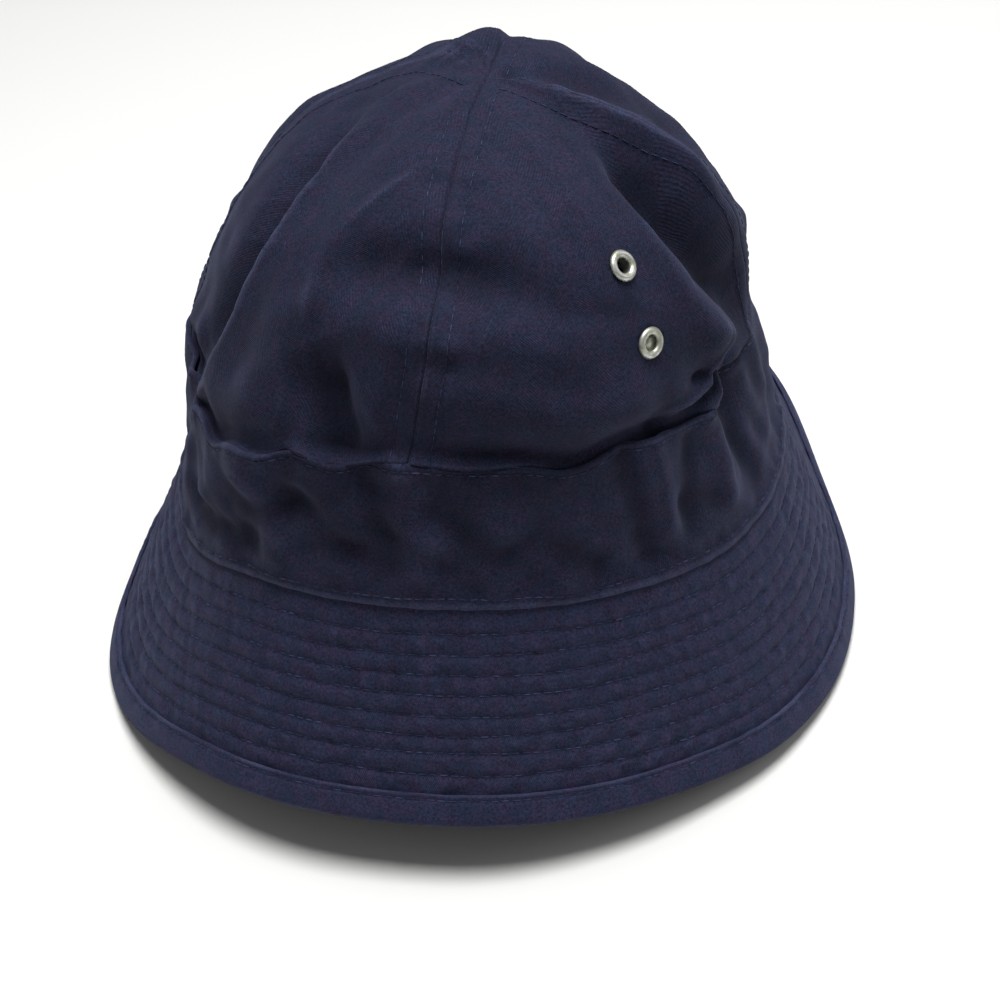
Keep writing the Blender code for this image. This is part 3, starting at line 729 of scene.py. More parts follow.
def grid_normals(points, wrap):
    """Outward unit normals of a grid of points whose columns run round and rows run up."""
    if wrap:
        across = np.roll(points, -1, axis=1) - np.roll(points, 1, axis=1)
    else:
        across = np.gradient(points, axis=1)
    normal = np.cross(across, np.gradient(points, axis=0))
    return normal / np.maximum(np.linalg.norm(normal, axis=-1, keepdims=True), 1e-12)


def relief(points, normals, reach, wrap):
    """How far each point stands above (or below) the mean of the points a few steps away, in metres."""
    mean = np.zeros_like(points)
    rows = np.arange(points.shape[0])
    columns = np.arange(points.shape[1])
    for step_row, step_column in ((0, reach), (0, -reach), (reach, 0), (-reach, 0)):
        row = np.clip(rows + step_row, 0, rows[-1])
        place = columns + step_column
        place = place % len(columns) if wrap else np.clip(place, 0, columns[-1])
        mean += points[row][:, place] / 4.0
    return np.einsum("ijk,ijk->ij", points - mean, normals)


def wear_and_painted_shade(points, wrap, depth=0.0):
    """Where the dye has gone pale, above 0 on ridges, and painted shade, below 0 in hollows and deep folds."""
    normals = grid_normals(points, wrap)
    wear = sum(strength * np.tanh(relief(points, normals, reach, wrap) / full) for strength, reach, full in RELIEF_WEAR_AND_SHADE)
    # painted shade in deep folds
    return wear - FOLD_PAINTED_SHADE * smooth_step(depth / FOLD_DEPTH)


def seam_crest_paling(azimuth, height):
    """How much paler the side seams are made where they stand up as a crest."""
    free = smooth_step((height - 0.3) / 0.3) * smooth_step((1.0 - height) / 0.2)
    return to_side(azimuth) * free * mark(seam_distance(azimuth, np.clip(height, 0.0, 1.0)), "crown_seam", RUBS)


def cloth_grid(name, points, flat, wear, wrap):
    """A piece of cloth from Blender's grid, laid on a grid of points; flat holds each point's place on the
    uncut cloth in metres, and is its UV map."""
    rows, columns = points.shape[:2]
    bpy.ops.object.select_all(action="DESELECT")
    bpy.ops.mesh.primitive_grid_add(x_subdivisions=columns - 1, y_subdivisions=rows - 1, size=2.0)
    piece = bpy.context.object
    piece.name = piece.data.name = name
    mesh = piece.data
    spot = np.empty(len(mesh.vertices) * 3, np.float32)
    mesh.vertices.foreach_get("co", spot)
    spot = spot.reshape(-1, 3)
    i = np.rint((spot[:, 0] + 1.0) / 2.0 * (columns - 1)).astype(int)
    j = np.rint((spot[:, 1] + 1.0) / 2.0 * (rows - 1)).astype(int)
    mesh.vertices.foreach_set("co", points[j, i].astype(np.float32).ravel())
    corner = np.empty(len(mesh.loops), np.int32)
    mesh.loops.foreach_get("vertex_index", corner)
    mesh.uv_layers[0].data.foreach_set("uv", flat[j, i][corner].astype(np.float32).ravel())
    # wear: above 0 pale worn places, below 0 painted shade in hollows and folds
    mesh.attributes.new("wear", "FLOAT", "POINT").data.foreach_set("value", wear[j, i].astype(np.float32))
    mesh.update()
    if wrap:
        merge_points()
    return piece


def edit_all(operator, **settings):
    """Runs one mesh operator on the whole of the active piece."""
    bpy.ops.object.mode_set(mode="EDIT")
    bpy.ops.mesh.select_all(action="SELECT")
    operator(**settings)
    bpy.ops.object.mode_set(mode="OBJECT")


def merge_points(distance=MERGE_DISTANCE):
    """Merges the active piece's points that lie together."""
    edit_all(bpy.ops.mesh.remove_doubles, threshold=distance)


def thicken(piece, thickness):
    """Gives the active cloth its thickness, on the inside."""
    wall = piece.modifiers.new("thickness", "SOLIDIFY")
    wall.thickness = thickness
    wall.offset = -1.0
    bpy.ops.object.modifier_apply(modifier=wall.name)


def finish_piece(piece, nodes, material):
    """Shades a piece, gives it its material and sets it on the hat in its nodes' place."""
    bpy.ops.object.shade_smooth()
    piece.data.materials.clear()
    piece.data.materials.append(material)
    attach(piece, BODY)
    if nodes:
        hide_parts(*nodes)


def close_ring(values):
    """Repeats a grid's first column after its last."""
    return np.concatenate([values, values[:, :1]], axis=1)


def ring_grid(girth, across, grain):
    """Azimuths all the way round and distances across a ring of cloth; girth is a multiple of the seam's."""
    columns = int(girth * math.pi * HEAD_WIDTH / grain)
    return np.meshgrid(np.arange(columns) * 360.0 / columns - 180.0, across)


def lay_ring(name, azimuth, across, points, wear, girth):
    """A closed ring of cloth; azimuth and across tell each point's place on the uncut cloth."""
    flat = close_ring(np.stack([np.radians(azimuth + 180.0) * HEAD_WIDTH / 2 * girth, across], -1))
    flat[:, -1, 0] = girth * math.pi * HEAD_WIDTH
    return cloth_grid(name, close_ring(points), flat, close_ring(wear), True)


def lay_stitches(name, centres, ways, normals, size, material):
    """One mesh of many stitches, each a copy of the same short bulge of thread."""
    bpy.ops.object.select_all(action="DESELECT")
    bpy.ops.mesh.primitive_uv_sphere_add(segments=6, ring_count=5, radius=0.5)
    piece = bpy.context.object
    piece.name = piece.data.name = name
    edit_all(bpy.ops.transform.resize, value=(size[1], size[2], size[0]))
    shape = np.array([vertex.co for vertex in piece.data.vertices])
    faces = [tuple(polygon.vertices) for polygon in piece.data.polygons]
    ways = ways / np.linalg.norm(ways, axis=-1, keepdims=True)
    sides = np.cross(ways, normals)
    sides /= np.linalg.norm(sides, axis=-1, keepdims=True)
    ups = np.cross(sides, ways)
    points = (centres[:, None] + shape[None, :, :1] * sides[:, None] + shape[None, :, 1:2] * ups[:, None]
              + shape[None, :, 2:] * ways[:, None]).reshape(-1, 3)
    count = len(shape)
    copies = [tuple(v + count * n for v in face) for n in range(len(centres)) for face in faces]
    mesh = bpy.data.meshes.new(name)
    mesh.from_pydata(points.tolist(), [], copies)
    blank = piece.data
    piece.data = mesh
    bpy.data.meshes.remove(blank)
    mesh.name = name
    finish_piece(piece, (), material)


def face_normal(face, azimuth, other, patch):
    """Outward unit normals of a face(azimuth, other), each over a small patch."""
    step_azimuth, step_other = patch
    across = face(azimuth + step_azimuth, other) - face(azimuth - step_azimuth, other)
    upward = face(azimuth, other + step_other) - face(azimuth, other - step_other)
    normal = np.cross(across, upward)
    return normal / np.maximum(np.linalg.norm(normal, axis=-1, keepdims=True), 1e-12)


def stitch_row(face, azimuth, other, pitch):
    """Centres, directions and normals of stitches along one row on a face(azimuth, other)."""
    path = face(azimuth, other)
    length = np.concatenate([[0.0], np.cumsum(np.linalg.norm(np.diff(path, axis=0), axis=1))])
    count = max(int(round(length[-1] / pitch)), 1)
    place = (np.arange(count) + 0.5) * length[-1] / count
    half = STITCH_CHORD / 2 * length[-1] / count
    start, middle, end = (np.stack([np.interp(place + shift, length, path[:, axis]) for axis in range(3)], -1)
                          for shift in (-half, 0.0, half))
    here_azimuth, here_other = np.interp(place, length, azimuth), np.interp(place, length, other)
    return middle, end - start, face_normal(face, here_azimuth, here_other, STITCH_PATCH)


# ---------------------------------------------------------------------------------------------------------
# Materials

def linear(hex_value):
    """An sRGB hex colour as linear red, green and blue, with an alpha of 1."""
    values = [int(hex_value[i:i + 2], 16) / 255.0 for i in (1, 3, 5)]
    return (*(v / 12.92 if v <= 0.04045 else ((v + 0.055) / 1.055) ** 2.4 for v in values), 1.0)


class Shading:
    """A material in the making, with short ways to add its nodes."""

    def __init__(self, name):
        self.material = bpy.data.materials.new(name)
        self.material.use_nodes = True
        self.tree = self.material.node_tree

    def fill(self, node, inputs):
        """Sets a node's inputs, by name or number, to values or links them to other nodes' outputs."""
        for socket, value in inputs.items():
            if isinstance(value, bpy.types.NodeSocket):
                self.tree.links.new(value, node.inputs[socket])
            else:
                node.inputs[socket].default_value = value

    def add(self, kind, inputs, **properties):
        """Adds a node and returns its outputs."""
        node = self.tree.nodes.new(kind)
        for key, value in properties.items():
            setattr(node, key, value)
        self.fill(node, inputs)
        return node.outputs

    def place(self):
        """Where on the hat a point lies, before it is moved or turned."""
        return self.add("ShaderNodeTexCoord", {})["Object"]

    def noise(self, place, scale, detail, roughness=0.5):
        """Blotches between 0 and 1."""
        return self.add("ShaderNodeTexNoise", {"Vector": place, "Scale": scale, "Detail": detail,
                                               "Roughness": roughness})[0]

    def work(self, operation, *values):
        """The result of one sum on outputs and numbers."""
        return self.add("ShaderNodeMath", dict(enumerate(values)), operation=operation)[0]

    def product(self, first, *others):
        """The product of several outputs and numbers."""
        for other in others:
            first = self.work("MULTIPLY", first, other)
        return first

    def spread(self, value, low, high, to_low=0.0, to_high=1.0):
        """A value's range moved to another, held at its ends."""
        return self.add("ShaderNodeMapRange", {0: value, 1: low, 2: high, 3: to_low, 4: to_high}, clamp=True)[0]

    def mix(self, share, first, second, blend="MIX"):
        """Two colours mixed by a share."""
        return self.add("ShaderNodeMix", {0: share, 6: first, 7: second}, data_type="RGBA", blend_type=blend)[2]

    def bump(self, height, strength, distance):
        """Normals of a fine relief."""
        return self.add("ShaderNodeBump", {"Height": height, "Strength": strength, "Distance": distance})[0]

    def finish(self, inputs):
        """Gives the shader its inputs and returns the material."""
        self.fill(self.tree.nodes["Principled BSDF"], inputs)
        return self.material


def cloth_material(context, cloth):
    """Washed cotton twill: fine slanting lines that turn back at each stripe, blotchy navy dye gone bluer or
    more purple in places, and pale where folds and edges have rubbed; with painted shade in hollows and deep folds,
    painted glints in the yarn flecks and painted light in each piece's tone."""
    name, stripe_share, pitch_share, slope, tone = CLOTHS[cloth]
    looks = context.scene.hat_cloth
    stripe, line_pitch = stripe_share * looks.stripe, pitch_share * looks.line_pitch
    make = Shading(name)
    place = make.place()
    flat = make.add("ShaderNodeSeparateXYZ", {0: make.add("ShaderNodeUVMap", {}, uv_map="UVMap")["UV"]})
    blotch = make.noise(place, 230.0, 4.0, 0.6)
    cloud = make.noise(place, 160.0, 4.0, 0.65)
    yarn_and_glint = make.noise(place, 1500.0, 2.0, 0.7)
    # wear: above 0 pale rubbed places, below 0 painted shade in hollows and deep folds
    wear = make.add("ShaderNodeAttribute", {}, attribute_name="wear")["Fac"]

    # The twill's lines, and which side of the herringbone a place is on
    drift = make.product(make.work("SUBTRACT", cloud, 0.5), 0.0016)
    across = make.work("PINGPONG", make.work("ADD", flat[0], 4.0), stripe)
    climb = make.work("ADD", make.work("ADD", flat[1], drift), make.product(across, slope))
    lines = make.work("MULTIPLY_ADD", make.work("SINE", make.product(climb, 2.0 * math.pi / line_pitch)), 0.5, 0.5)
    side = make.work("PINGPONG", make.work("ADD", flat[0], 4.0 + stripe / 2), stripe)

    # The dye, darker and lighter with the cloth's blotches, yarns, lines, sides and wear, with painted shade in
    # hollows and folds, painted glints in the yarn flecks and painted light in each piece's tone
    navy = make.mix(make.spread(blotch, 0.40, 0.62), linear(looks.bluish), linear(looks.purplish))
    seen = make.spread(cloud, 0.42, 0.62, 0.4 * looks.twill, 1.5 * looks.twill)
    light = make.product(
        make.spread(cloud, 0.30, 0.72, 0.88, 1.12),
        # yarn flecks, partly the yarn's own tone and partly painted glints of its fibres
        make.spread(yarn_and_glint, 0.30, 0.70, 0.52, 1.52),
        make.work("MULTIPLY_ADD", make.work("SUBTRACT", lines, 0.5), make.product(seen, 2.0), 1.0),
        make.spread(make.spread(side, 0.48 * stripe, 0.52 * stripe), 0.0, 1.0, 0.97, 1.04),
        # painted shade: darker where wear is below 0, in hollows, creases and deep folds
        make.spread(wear, -1.0, 0.0, 0.55, 1.0),
        # painted light: each piece's tone lifts it toward its lit brightness
        tone)
    dyed = make.mix(1.0, navy, make.add("ShaderNodeCombineColor", {0: light, 1: light, 2: light})[0], "MULTIPLY")

    # Rubbed places, and specks of lint
    rub = make.product(make.spread(wear, 0.12, 1.0, 0.0, looks.wear), make.spread(yarn_and_glint, 0.3, 0.7, 0.55, 1.2))
    faded = make.mix(rub, dyed, linear(looks.faded))
    fluff = make.add("ShaderNodeTexVoronoi", {"Vector": place, "Scale": 62.0}, feature="F1")["Distance"]
    specks = make.product(make.spread(fluff, 0.028, 0.016), make.spread(blotch, 0.56, 0.60), 0.30)
    raised = make.work("ADD", make.product(lines, 0.6), make.product(yarn_and_glint, 0.9))
    return make.finish({
        "Base Color": make.mix(specks, faded, linear("#9a9cae")),
        "Roughness": 0.88,
        "IOR": 1.46,
        "Specular IOR Level": 0.14,
        "Sheen Weight": 0.13,
        "Sheen Roughness": 0.45,
        "Sheen Tint": linear("#9aa2c8"),
        "Normal": make.bump(raised, 0.40, 0.00022),
    })


def thread_material(context):
    """Cotton-wrapped sewing thread, the cloth's own navy and a little glossier, with fine twisted plies."""
    looks = context.scene.hat_stitching
    make = Shading("navy_sewing_thread")
    place = make.place()
    patch, plies = make.noise(place, 260.0, 2.0), make.noise(place, 2600.0, 1.0)
    return make.finish({
        "Base Color": make.mix(make.spread(patch, 0.40, 0.66), linear(looks.thread), linear(looks.thread_worn)),
        "Roughness": 0.62,
        "Specular IOR Level": 0.15,
        "Normal": make.bump(plies, 0.4, 0.00008),
    })


def eyelet_material():
    """Nickel-plated brass, dulled by washing: pale grey with a faint yellow-green stain and fine pitting."""
    make = Shading("dulled_nickel_plate")
    place = make.place()
    stain, pits = make.noise(place, 420.0, 4.0), make.noise(place, 2400.0, 2.0)
    return make.finish({
        "Base Color": make.mix(make.spread(stain, 0.38, 0.66), linear("#cfd0cb"), linear("#9c9f8c")),
        "Roughness": make.spread(stain, 0.3, 0.7, 0.38, 0.56),
        "Metallic": 0.85,
        "Normal": make.bump(pits, 0.25, 0.00006),
    })


def floor_material():
    """Plain matt paper, nearly white."""
    return Shading("white_paper").finish({"Base Color": linear("#e8e8e6"), "Roughness": 0.9,
                                          "Specular IOR Level": 0.1})


# ---------------------------------------------------------------------------------------------------------
# Settings

def colour_setting(name, what, default):
    """A setting for an sRGB colour."""
    return StringProperty(name=name, description="sRGB colour of " + what, default=default)


def length_setting(name, description, default, low, high):
    """A setting for a length in metres."""
    return FloatProperty(name=name, description=description, default=default, min=low, max=high, unit="LENGTH",
                         subtype="DISTANCE", precision=5)


def angle_setting(name, description, degrees):
    """A setting for an angle."""
    return FloatProperty(name=name, description=description, default=math.radians(degrees), subtype="ANGLE",
                         unit="ROTATION")


def number_setting(name, description, default, low, high):
    """A setting for a plain number."""
    return FloatProperty(name=name, description=description, default=default, min=low, max=high)


class HatClothSettings(bpy.types.PropertyGroup):
    """Colours and weave of the cloth."""
    bluish: colour_setting("Bluish dye", "the bluer blotches", "#1c2134")
    purplish: colour_setting("Purplish dye", "the redder blotches", "#232034")
    faded: colour_setting("Faded", "rubbed ridges and edges", "#5a5f80")
    wear: number_setting("Wear", "Strength of the pale ridges", 0.60, 0.0, 1.0)
    twill: number_setting("Twill contrast", "How much the twill lines differ in tone", 0.17, 0.0, 1.0)
    stripe: length_setting("Herringbone stripe", "Width of one herringbone stripe", 0.0092, 0.002, 0.03)
    line_pitch: length_setting("Twill line pitch", "Spacing of the twill lines, drawn coarser than real yarn",
                               0.0010, 0.0003, 0.003)
    grain: length_setting("Mesh grain", "Spacing of the cloth's points", 0.0011, 0.0006, 0.004)


class HatStitchSettings(bpy.types.PropertyGroup):
    """Sizes and colours of the stitching."""
    thread: colour_setting("Thread", "the thread", "#1c2238")
    thread_worn: colour_setting("Worn thread", "worn thread", "#3b4363")
    pitch: length_setting("Stitch pitch", "From one stitch to the next", 0.0029, 0.001, 0.006)
    length: length_setting("Stitch length", "Visible length of a stitch", 0.0023, 0.0008, 0.005)
    width: length_setting("Thread width", "Thickness of the thread", 0.00042, 0.0001, 0.001)


class HatEyeletSettings(bpy.types.PropertyGroup):
    """Sizes of the eyelets."""
    diameter: length_setting("Eyelet diameter", "Outer diameter of the flange", 0.0084, 0.004, 0.015)
    hole: length_setting("Hole diameter", "Diameter of the open hole", 0.0041, 0.001, 0.008)
    steps: IntProperty(name="Steps", description="Steps round the ring", default=40, min=12, max=96)


class HatStageSettings(bpy.types.PropertyGroup):
    """Camera and light."""
    distance: length_setting("Camera distance", "From the camera to its target", 0.661, 0.2, 3.0)
    elevation: angle_setting("Camera elevation", "Angle above the floor", 38.0)
    azimuth: angle_setting("Camera azimuth", "Angle from the front toward +X", 12.0)
    roll: angle_setting("Camera roll", "Turn of the picture", -4.73)
    lens: number_setting("Lens", "Focal length in millimetres on a 36 mm sensor", 76.99, 20.0, 200.0)
    top_light: number_setting("Top light", "Power of the softbox overhead in watts", 17.5, 0.0, 500.0)
    fill_light: number_setting("Fill light", "Power of the fill by the camera in watts", 0.8, 0.0, 500.0)
    side_light: number_setting("Side light", "Power of the softbox on the right in watts", 2.6, 0.0, 500.0)
    room_light: number_setting("Room light", "Strength of the even light all round", 0.15, 0.0, 5.0)


# ---------------------------------------------------------------------------------------------------------
# Operators

class HAT_OT_crown(bpy.types.Operator):
    """Lay the four crown gores"""
    bl_idname = "hat.crown"
    bl_label = "Crown"

    def execute(self, context):
        grain = context.scene.hat_cloth.grain
        material = cloth_material(context, "crown")
        reach = context.scene.hat_eyelets.diameter / 2 - EYELET_COVER
        slant = crown_slant()
        half = int(math.radians(45.0) * HEAD_WIDTH / 2 / grain)
        share = np.linspace(-1.0, 1.0, 2 * half + 1)
        turn = 45.0 * ((1.0 - SEAM_CROWDING) * share + SEAM_CROWDING * np.sin(share * math.pi / 2))
        tuck = CROWN_TUCK / slant
        rows = int((1.0 + tuck) * slant / grain)
        levels = np.concatenate([[-tuck, -tuck / 2, -0.004], np.linspace(0.0, 1.0, rows)])
        for node, middle in PANELS:
            azimuth, height = np.meshgrid(middle + turn, levels)
            bisector = np.array([math.sin(math.radians(middle)), -math.cos(math.radians(middle)), 0.0])
            points = crown_face(azimuth, height) - GORE_PULL * GAP * bisector
            points[-1] = points[-1].mean(axis=0)
            turned = np.radians(slipped(azimuth, height) - middle)
            flat = np.stack([turned * crown_radius(np.maximum(height, 0.0)), height * slant], -1)
            # wear: pale on ridges and along the side seams' crests; painted shade in hollows and deep folds
            folded = -fold_swell(slipped(azimuth, height), np.maximum(height, 0.0), FOLDS)
            wear = wear_and_painted_shade(points, False, folded) + seam_crest_paling(azimuth, height)
            piece = cloth_grid(node.replace("crown_panel", "crown_gore"), points, flat, wear, False)
            cut_eyelet_holes(piece, node, reach)
            merge_points()
            thicken(piece, CROWN_THICKNESS)
            finish_piece(piece, (node,), material)
        return {"FINISHED"}


def cut_eyelet_holes(piece, node, reach):
    """Takes out the cloth under the eyelets of one gore."""
    bpy.ops.object.mode_set(mode="EDIT")
    bpy.ops.mesh.select_mode(type="VERT")
    bpy.ops.mesh.select_all(action="DESELECT")
    bpy.ops.object.mode_set(mode="OBJECT")
    places = [crown_face(azimuth, height) for _, panel, azimuth, height, _ in EYELETS if panel == node]
    for vertex in piece.data.vertices:
        vertex.select = any((vertex.co - Vector(place)).length < reach for place in places)
    bpy.ops.object.mode_set(mode="EDIT")
    bpy.ops.mesh.delete(type="VERT")
    bpy.ops.object.mode_set(mode="OBJECT")


class HAT_OT_band(bpy.types.Operator):
    """Lay the band"""
    bl_idname = "hat.band"
    bl_label = "Band"

    def execute(self, context):
        grain = context.scene.hat_cloth.grain
        rows = int(BAND_HEIGHT / grain)
        azimuth, up = ring_grid(1.0, np.linspace(0.0, BAND_HEIGHT, rows + 1), grain)
        points = band_face(azimuth, up)
        # wear: pale on ridges and rubbed edges; painted shade in hollows, creases and the foot stitching's groove
        wear = wear_and_painted_shade(points, True, -5.0 * band_crease(azimuth, up))
        wear += mark(BAND_HEIGHT - up, "band_top", RUBS) * (0.6 + ripple(points, "band_wear"))
        wear += mark(up - BAND_FOOT_RUB, "band_foot", RUBS) + mark(up - BAND_FOOT_STITCH, "band_foot_stitch", RUBS)
        piece = lay_ring("band_twill", azimuth, up, points, wear, 1.0)
        thicken(piece, BAND_LIP)
        finish_piece(piece, ("band",), cloth_material(context, "band"))
        return {"FINISHED"}


class HAT_OT_brim(bpy.types.Operator):
    """Lay the quilted brim"""
    bl_idname = "hat.brim"
    bl_label = "Brim"

    def execute(self, context):
        grain = context.scene.hat_cloth.grain
        cloth_end = BRIM_WIDTH - BINDING_THICKNESS - GAP
        rows = int((cloth_end + BRIM_TURN_IN) / (BRIM_ROW_SPACING * grain))
        azimuth, out = ring_grid(BRIM_GIRTH, np.linspace(cloth_end, -BRIM_TURN_IN, rows + 1), grain)
        points = brim_face(azimuth, out, quilting(azimuth, out))
        # wear: pale on ridges, painted shade in hollows such as the quilting grooves
        piece = lay_ring("brim_twill", azimuth, BRIM_WIDTH - out, points, wear_and_painted_shade(points, True), BRIM_GIRTH)
        thicken(piece, BRIM_THICKNESS)
        finish_piece(piece, ("brim",), cloth_material(context, "brim"))
        return {"FINISHED"}


def tape_section():
    """Round outline of the folded tape: pairs of distance down the brim and above its upper face."""
    start = BRIM_WIDTH - BINDING_WIDTH
    middle = -BRIM_THICKNESS / 2
    cloth_end = BRIM_WIDTH - BINDING_THICKNESS
    face = [(start, GAP), (start - 0.0001, GAP + 0.5 * BINDING_THICKNESS), (start + 0.0002, GAP + BINDING_THICKNESS)]
    for share in np.linspace(0.08, 1.0, 14):
        out = start + share * (BINDING_WIDTH - NOSE_RADIUS)
        sewn = float(mark(out - start - TAPE_STITCH, "tape_stitch"))
        face.append((out, GAP + BINDING_THICKNESS + sewn))
    for step in range(1, 9):
        angle = math.pi / 2 - math.pi * step / 9
        face.append((BRIM_WIDTH - NOSE_RADIUS * (1.0 - math.cos(angle)), middle + NOSE_RADIUS * math.sin(angle)))
    for share in np.linspace(1.0, 0.0, 8):
        face.append((start + share * (BINDING_WIDTH - NOSE_RADIUS), middle - NOSE_RADIUS))
    face += [(start, -BRIM_THICKNESS - GAP), (cloth_end, -BRIM_THICKNESS - GAP), (cloth_end, GAP)]
    return face


def tape_face(azimuth, out, above):
    """Point on the dressed tape."""
    place = brim_point(azimuth, BRIM_WIDTH - BINDING_WIDTH / 2, 0.0)
    puckers = pucker(place, out - BRIM_WIDTH + BINDING_WIDTH - TAPE_STITCH, "tape_stitch")
    return brim_face(azimuth, out, above + np.where(above > 0.0, puckers, 0.0))


class HAT_OT_tape(bpy.types.Operator):
    """Fold the tape round the brim's edge"""
    bl_idname = "hat.tape"
    bl_label = "Rim tape"

    def execute(self, context):
        section = tape_section()
        section = np.array(section + section[:1])[::-1]
        out, above = section[:, :1], section[:, 1:]
        length = np.concatenate([[0.0], np.cumsum(np.linalg.norm(np.diff(section[::-1], axis=0), axis=1))])[::-1]
        azimuth, across = ring_grid(TAPE_GIRTH, length, context.scene.hat_cloth.grain)
        points = tape_face(azimuth, out, above)
        wear = mark(out - BRIM_WIDTH + BINDING_WIDTH, "tape_edge", RUBS) * (above > 0.0)
        wear = (wear + mark(out - BRIM_WIDTH, "rim", RUBS)) * (0.75 + ripple(points, "tape_wear"))
        piece = lay_ring("rim_tape", azimuth, across, points, wear, TAPE_GIRTH)
        edit_all(bpy.ops.mesh.normals_make_consistent, inside=False)
        finish_piece(piece, ("rim_binding",), cloth_material(context, "tape"))
        return {"FINISHED"}


class HAT_OT_eyelets(bpy.types.Operator):
    """Set the metal eyelets"""
    bl_idname = "hat.eyelets"
    bl_label = "Eyelets"

    def execute(self, context):
        settings = context.scene.hat_eyelets
        material = eyelet_material()
        flange, bore = settings.diameter / 2, settings.hole / 2
        outline = [(bore + share * (flange - bore) + beyond, height) for share, beyond, height in EYELET_OUTLINE]
        disc = [(0.0, -0.0020), (bore + 0.0003, -0.0020), (bore + 0.0003, -0.0004), (0.0, -0.0001)]
        for node, _, azimuth, height, closed in EYELETS:
            place = crown_face(azimuth, height)
            normal = face_normal(crown_face, azimuth, height, EYELET_PATCH)
            piece = turned_ring(node.replace("eyelet", "eyelet_ring"), outline, place, normal, settings.steps)
            finish_piece(piece, (node,), material)
            if closed:
                plug = turned_ring(node.replace("eyelet", "eyelet_plug"), disc, place, normal, settings.steps)
                finish_piece(plug, (), material)
        return {"FINISHED"}


def turned_ring(name, section, place, normal, steps):
    """A piece turned from a closed section (radius, height) about the normal at a place."""
    bpy.ops.object.select_all(action="DESELECT")
    mesh = bpy.data.meshes.new(name)
    mesh.from_pydata([(radius, 0.0, height) for radius, height in section],
                     [(i, (i + 1) % len(section)) for i in range(len(section))], [])
    piece = bpy.data.objects.new(name, mesh)
    bpy.context.scene.collection.objects.link(piece)
    bpy.context.view_layer.objects.active = piece
    piece.select_set(True)
    edit_all(bpy.ops.mesh.spin, steps=steps, angle=2.0 * math.pi, center=(0.0, 0.0, 0.0), axis=(0.0, 0.0, 1.0))
    merge_points(0.5 * MERGE_DISTANCE)
    edit_all(bpy.ops.mesh.normals_make_consistent, inside=False)
    turn = Vector((0.0, 0.0, 1.0)).rotation_difference(Vector(normal)).to_matrix().to_4x4()
    mesh.transform(Matrix.Translation(Vector(place)) @ turn)
    mesh.update()
    return piece


class HAT_OT_stitching(bpy.types.Operator):
    """Sew the rows of stitching"""
    bl_idname = "hat.stitching"
    bl_label = "Stitching"

    def execute(self, context):
        stitching = context.scene.hat_stitching
        size = (stitching.length, stitching.width, stitching.width)
        fine = (stitching.length, FINE_STITCH * stitching.width, FINE_STITCH * stitching.width)
        material = thread_material(context)
        for place, rows, bulk, slot in (("crown", self.crown_rows, fine, "crown_cloth"),
                                        ("band", self.band_rows, size, "band_cloth"),
                                        ("brim", self.brim_rows, size, "brim_cloth"),
                                        ("tape", self.tape_rows, size, "binding_tape")):
            rows = rows(stitching.pitch)
            centres, ways, normals = (np.concatenate([row[k] for row in rows]) for k in range(3))
            centres = centres + normals * STITCH_STAND * bulk[2]
            lay_stitches("stitching_" + place, centres, ways, normals, bulk, material)
        return {"FINISHED"}

    def crown_rows(self, pitch):
        """A row on each side of each seam of the crown."""
        height = np.linspace(SEAM_ROW_START, SEAM_ROW_END, SEAM_POINTS)
        turn = np.degrees(SEAM_STITCH / crown_radius(height))
        height, turn = height[turn < SEAM_ROW_TURN], turn[turn < SEAM_ROW_TURN]
        return [stitch_row(crown_face, seam + side * turn, height, pitch)
                for seam in (0.0, 90.0, 180.0, 270.0) for side in (-1.0, 1.0)]

    def round_rows(self, face, heights, pitch):
        """Rows all the way round a face(azimuth, up), at heights that are the same or vary round it."""
        azimuth = np.linspace(-180.0, 180.0, ROUND_POINTS)
        return [stitch_row(face, azimuth, np.broadcast_to(up, azimuth.shape), pitch) for up in heights]

    def band_rows(self, pitch):
        """A row along each edge of the band."""
        return self.round_rows(band_face, (BAND_FOOT_STITCH, BAND_HEIGHT - BAND_TOP_STITCH), pitch)

    def brim_rows(self, pitch):
        """The rows that quilt the brim."""
        def face(azimuth, up):
            return brim_face(azimuth, BRIM_WIDTH - up, quilting(azimuth, BRIM_WIDTH - up))
        azimuth = np.linspace(-180.0, 180.0, ROUND_POINTS)
        heights = [BRIM_WIDTH - brim_row_out(azimuth, share, number) for number, share in enumerate(BRIM_ROWS)]
        return self.round_rows(face, heights, pitch)

    def tape_rows(self, pitch):
        """The row that holds the tape."""
        def face(azimuth, up):
            return tape_face(azimuth, BRIM_WIDTH - up, GAP + BINDING_THICKNESS + MARKS["tape_stitch"][0])
        return self.round_rows(face, (BINDING_WIDTH - TAPE_STITCH,), pitch)


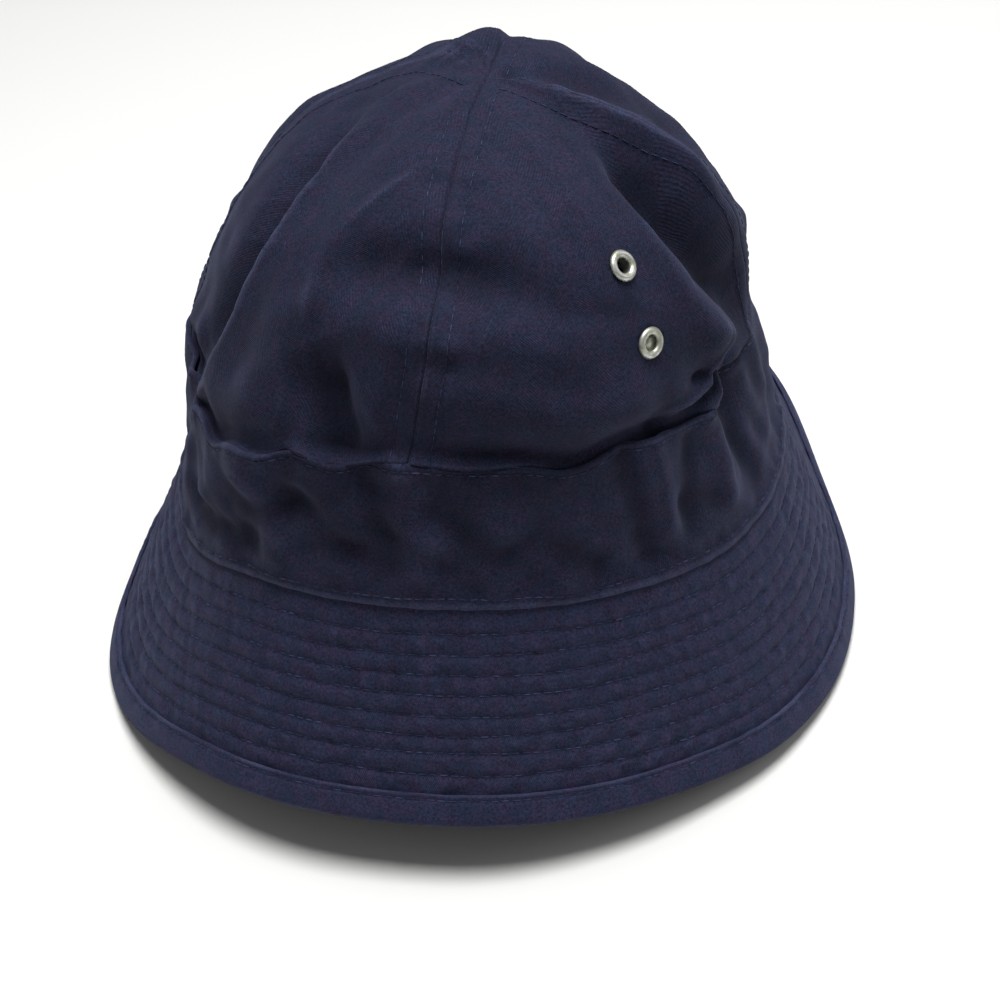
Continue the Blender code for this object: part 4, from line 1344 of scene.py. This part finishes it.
class HAT_OT_stage(bpy.types.Operator):
    """Set up the floor, the lights and the camera"""
    bl_idname = "hat.stage"
    bl_label = "Stage"

    def execute(self, context):
        settings = context.scene.hat_stage
        bpy.ops.object.select_all(action="DESELECT")
        bpy.ops.mesh.primitive_plane_add(size=12.0, location=(0.0, 0.0, 0.0))
        floor = context.object
        floor.name = "floor"
        floor.data.materials.append(floor_material())
        for name, place, target, size, power in LIGHTS:
            self.add_light(name, place, target, size, getattr(settings, power))
        world = bpy.data.worlds.new("studio")
        world.use_nodes = True
        background = world.node_tree.nodes["Background"]
        background.inputs["Color"].default_value = (1.0, 1.0, 1.0, 1.0)
        background.inputs["Strength"].default_value = settings.room_light
        context.scene.world = world
        context.scene.view_settings.view_transform = "Standard"
        self.add_camera(context, settings)
        return {"FINISHED"}

    def add_light(self, name, place, target, size, power):
        """A round lamp that points at its target."""
        bpy.ops.object.light_add(type="AREA", location=place)
        lamp = bpy.context.object
        lamp.name = name
        lamp.data.shape = "DISK"
        lamp.data.size = size
        lamp.data.energy = power
        lamp.rotation_euler = (Vector(target) - Vector(place)).to_track_quat("-Z", "Y").to_euler()

    def add_camera(self, context, settings):
        """Places the camera by its angles, looking at a point inside the hat."""
        elevation, azimuth = settings.elevation, settings.azimuth
        back = Vector((math.sin(azimuth) * math.cos(elevation), -math.cos(azimuth) * math.cos(elevation),
                       math.sin(elevation)))
        right = Vector((math.cos(azimuth), math.sin(azimuth), 0.0))
        up = back.cross(right)
        target = Vector(base_shift()) + TARGET_RIGHT * right + Vector((0.0, 0.0, TARGET_HEIGHT))
        place = target + settings.distance * back
        across = right * math.cos(settings.roll) + up * math.sin(settings.roll)
        upward = up * math.cos(settings.roll) - right * math.sin(settings.roll)
        bpy.ops.object.camera_add()
        camera = context.object
        camera.name = "photo_camera"
        camera.matrix_world = Matrix.Translation(place) @ Matrix((across, upward, back)).transposed().to_4x4()
        camera.data.sensor_fit = "HORIZONTAL"
        camera.data.sensor_width = 36.0
        camera.data.lens = settings.lens
        camera.data.clip_start = 0.01
        context.scene.camera = camera


class HAT_PT_panel(bpy.types.Panel):
    """Bush hat"""
    bl_idname = "HAT_PT_panel"
    bl_label = "Bush Hat"
    bl_space_type = "VIEW_3D"
    bl_region_type = "UI"
    bl_category = "Bush Hat"

    def draw(self, context):
        for group, _ in GROUPS:
            box = self.layout.box()
            settings = getattr(context.scene, group)
            for name in settings.__annotations__:
                box.prop(settings, name)
        for operator in OPERATORS:
            self.layout.operator(operator.bl_idname)


GROUPS = (
    ("hat_cloth", HatClothSettings),
    ("hat_stitching", HatStitchSettings),
    ("hat_eyelets", HatEyeletSettings),
    ("hat_stage", HatStageSettings),
)
OPERATORS = (HAT_OT_crown, HAT_OT_band, HAT_OT_brim, HAT_OT_tape, HAT_OT_eyelets, HAT_OT_stitching, HAT_OT_stage)


def register():
    for name, group in GROUPS:
        bpy.utils.register_class(group)
        setattr(bpy.types.Scene, name, PointerProperty(type=group))
    for operator in OPERATORS:
        bpy.utils.register_class(operator)
    bpy.utils.register_class(HAT_PT_panel)


def unregister():
    bpy.utils.unregister_class(HAT_PT_panel)
    for operator in reversed(OPERATORS):
        bpy.utils.unregister_class(operator)
    for name, group in reversed(GROUPS):
        delattr(bpy.types.Scene, name)
        bpy.utils.unregister_class(group)


def main():
    register()
    bpy.ops.hat.crown()
    bpy.ops.hat.band()
    bpy.ops.hat.brim()
    bpy.ops.hat.tape()
    bpy.ops.hat.eyelets()
    bpy.ops.hat.stitching()
    bpy.ops.hat.stage()


if __name__ == "__main__":
    main()
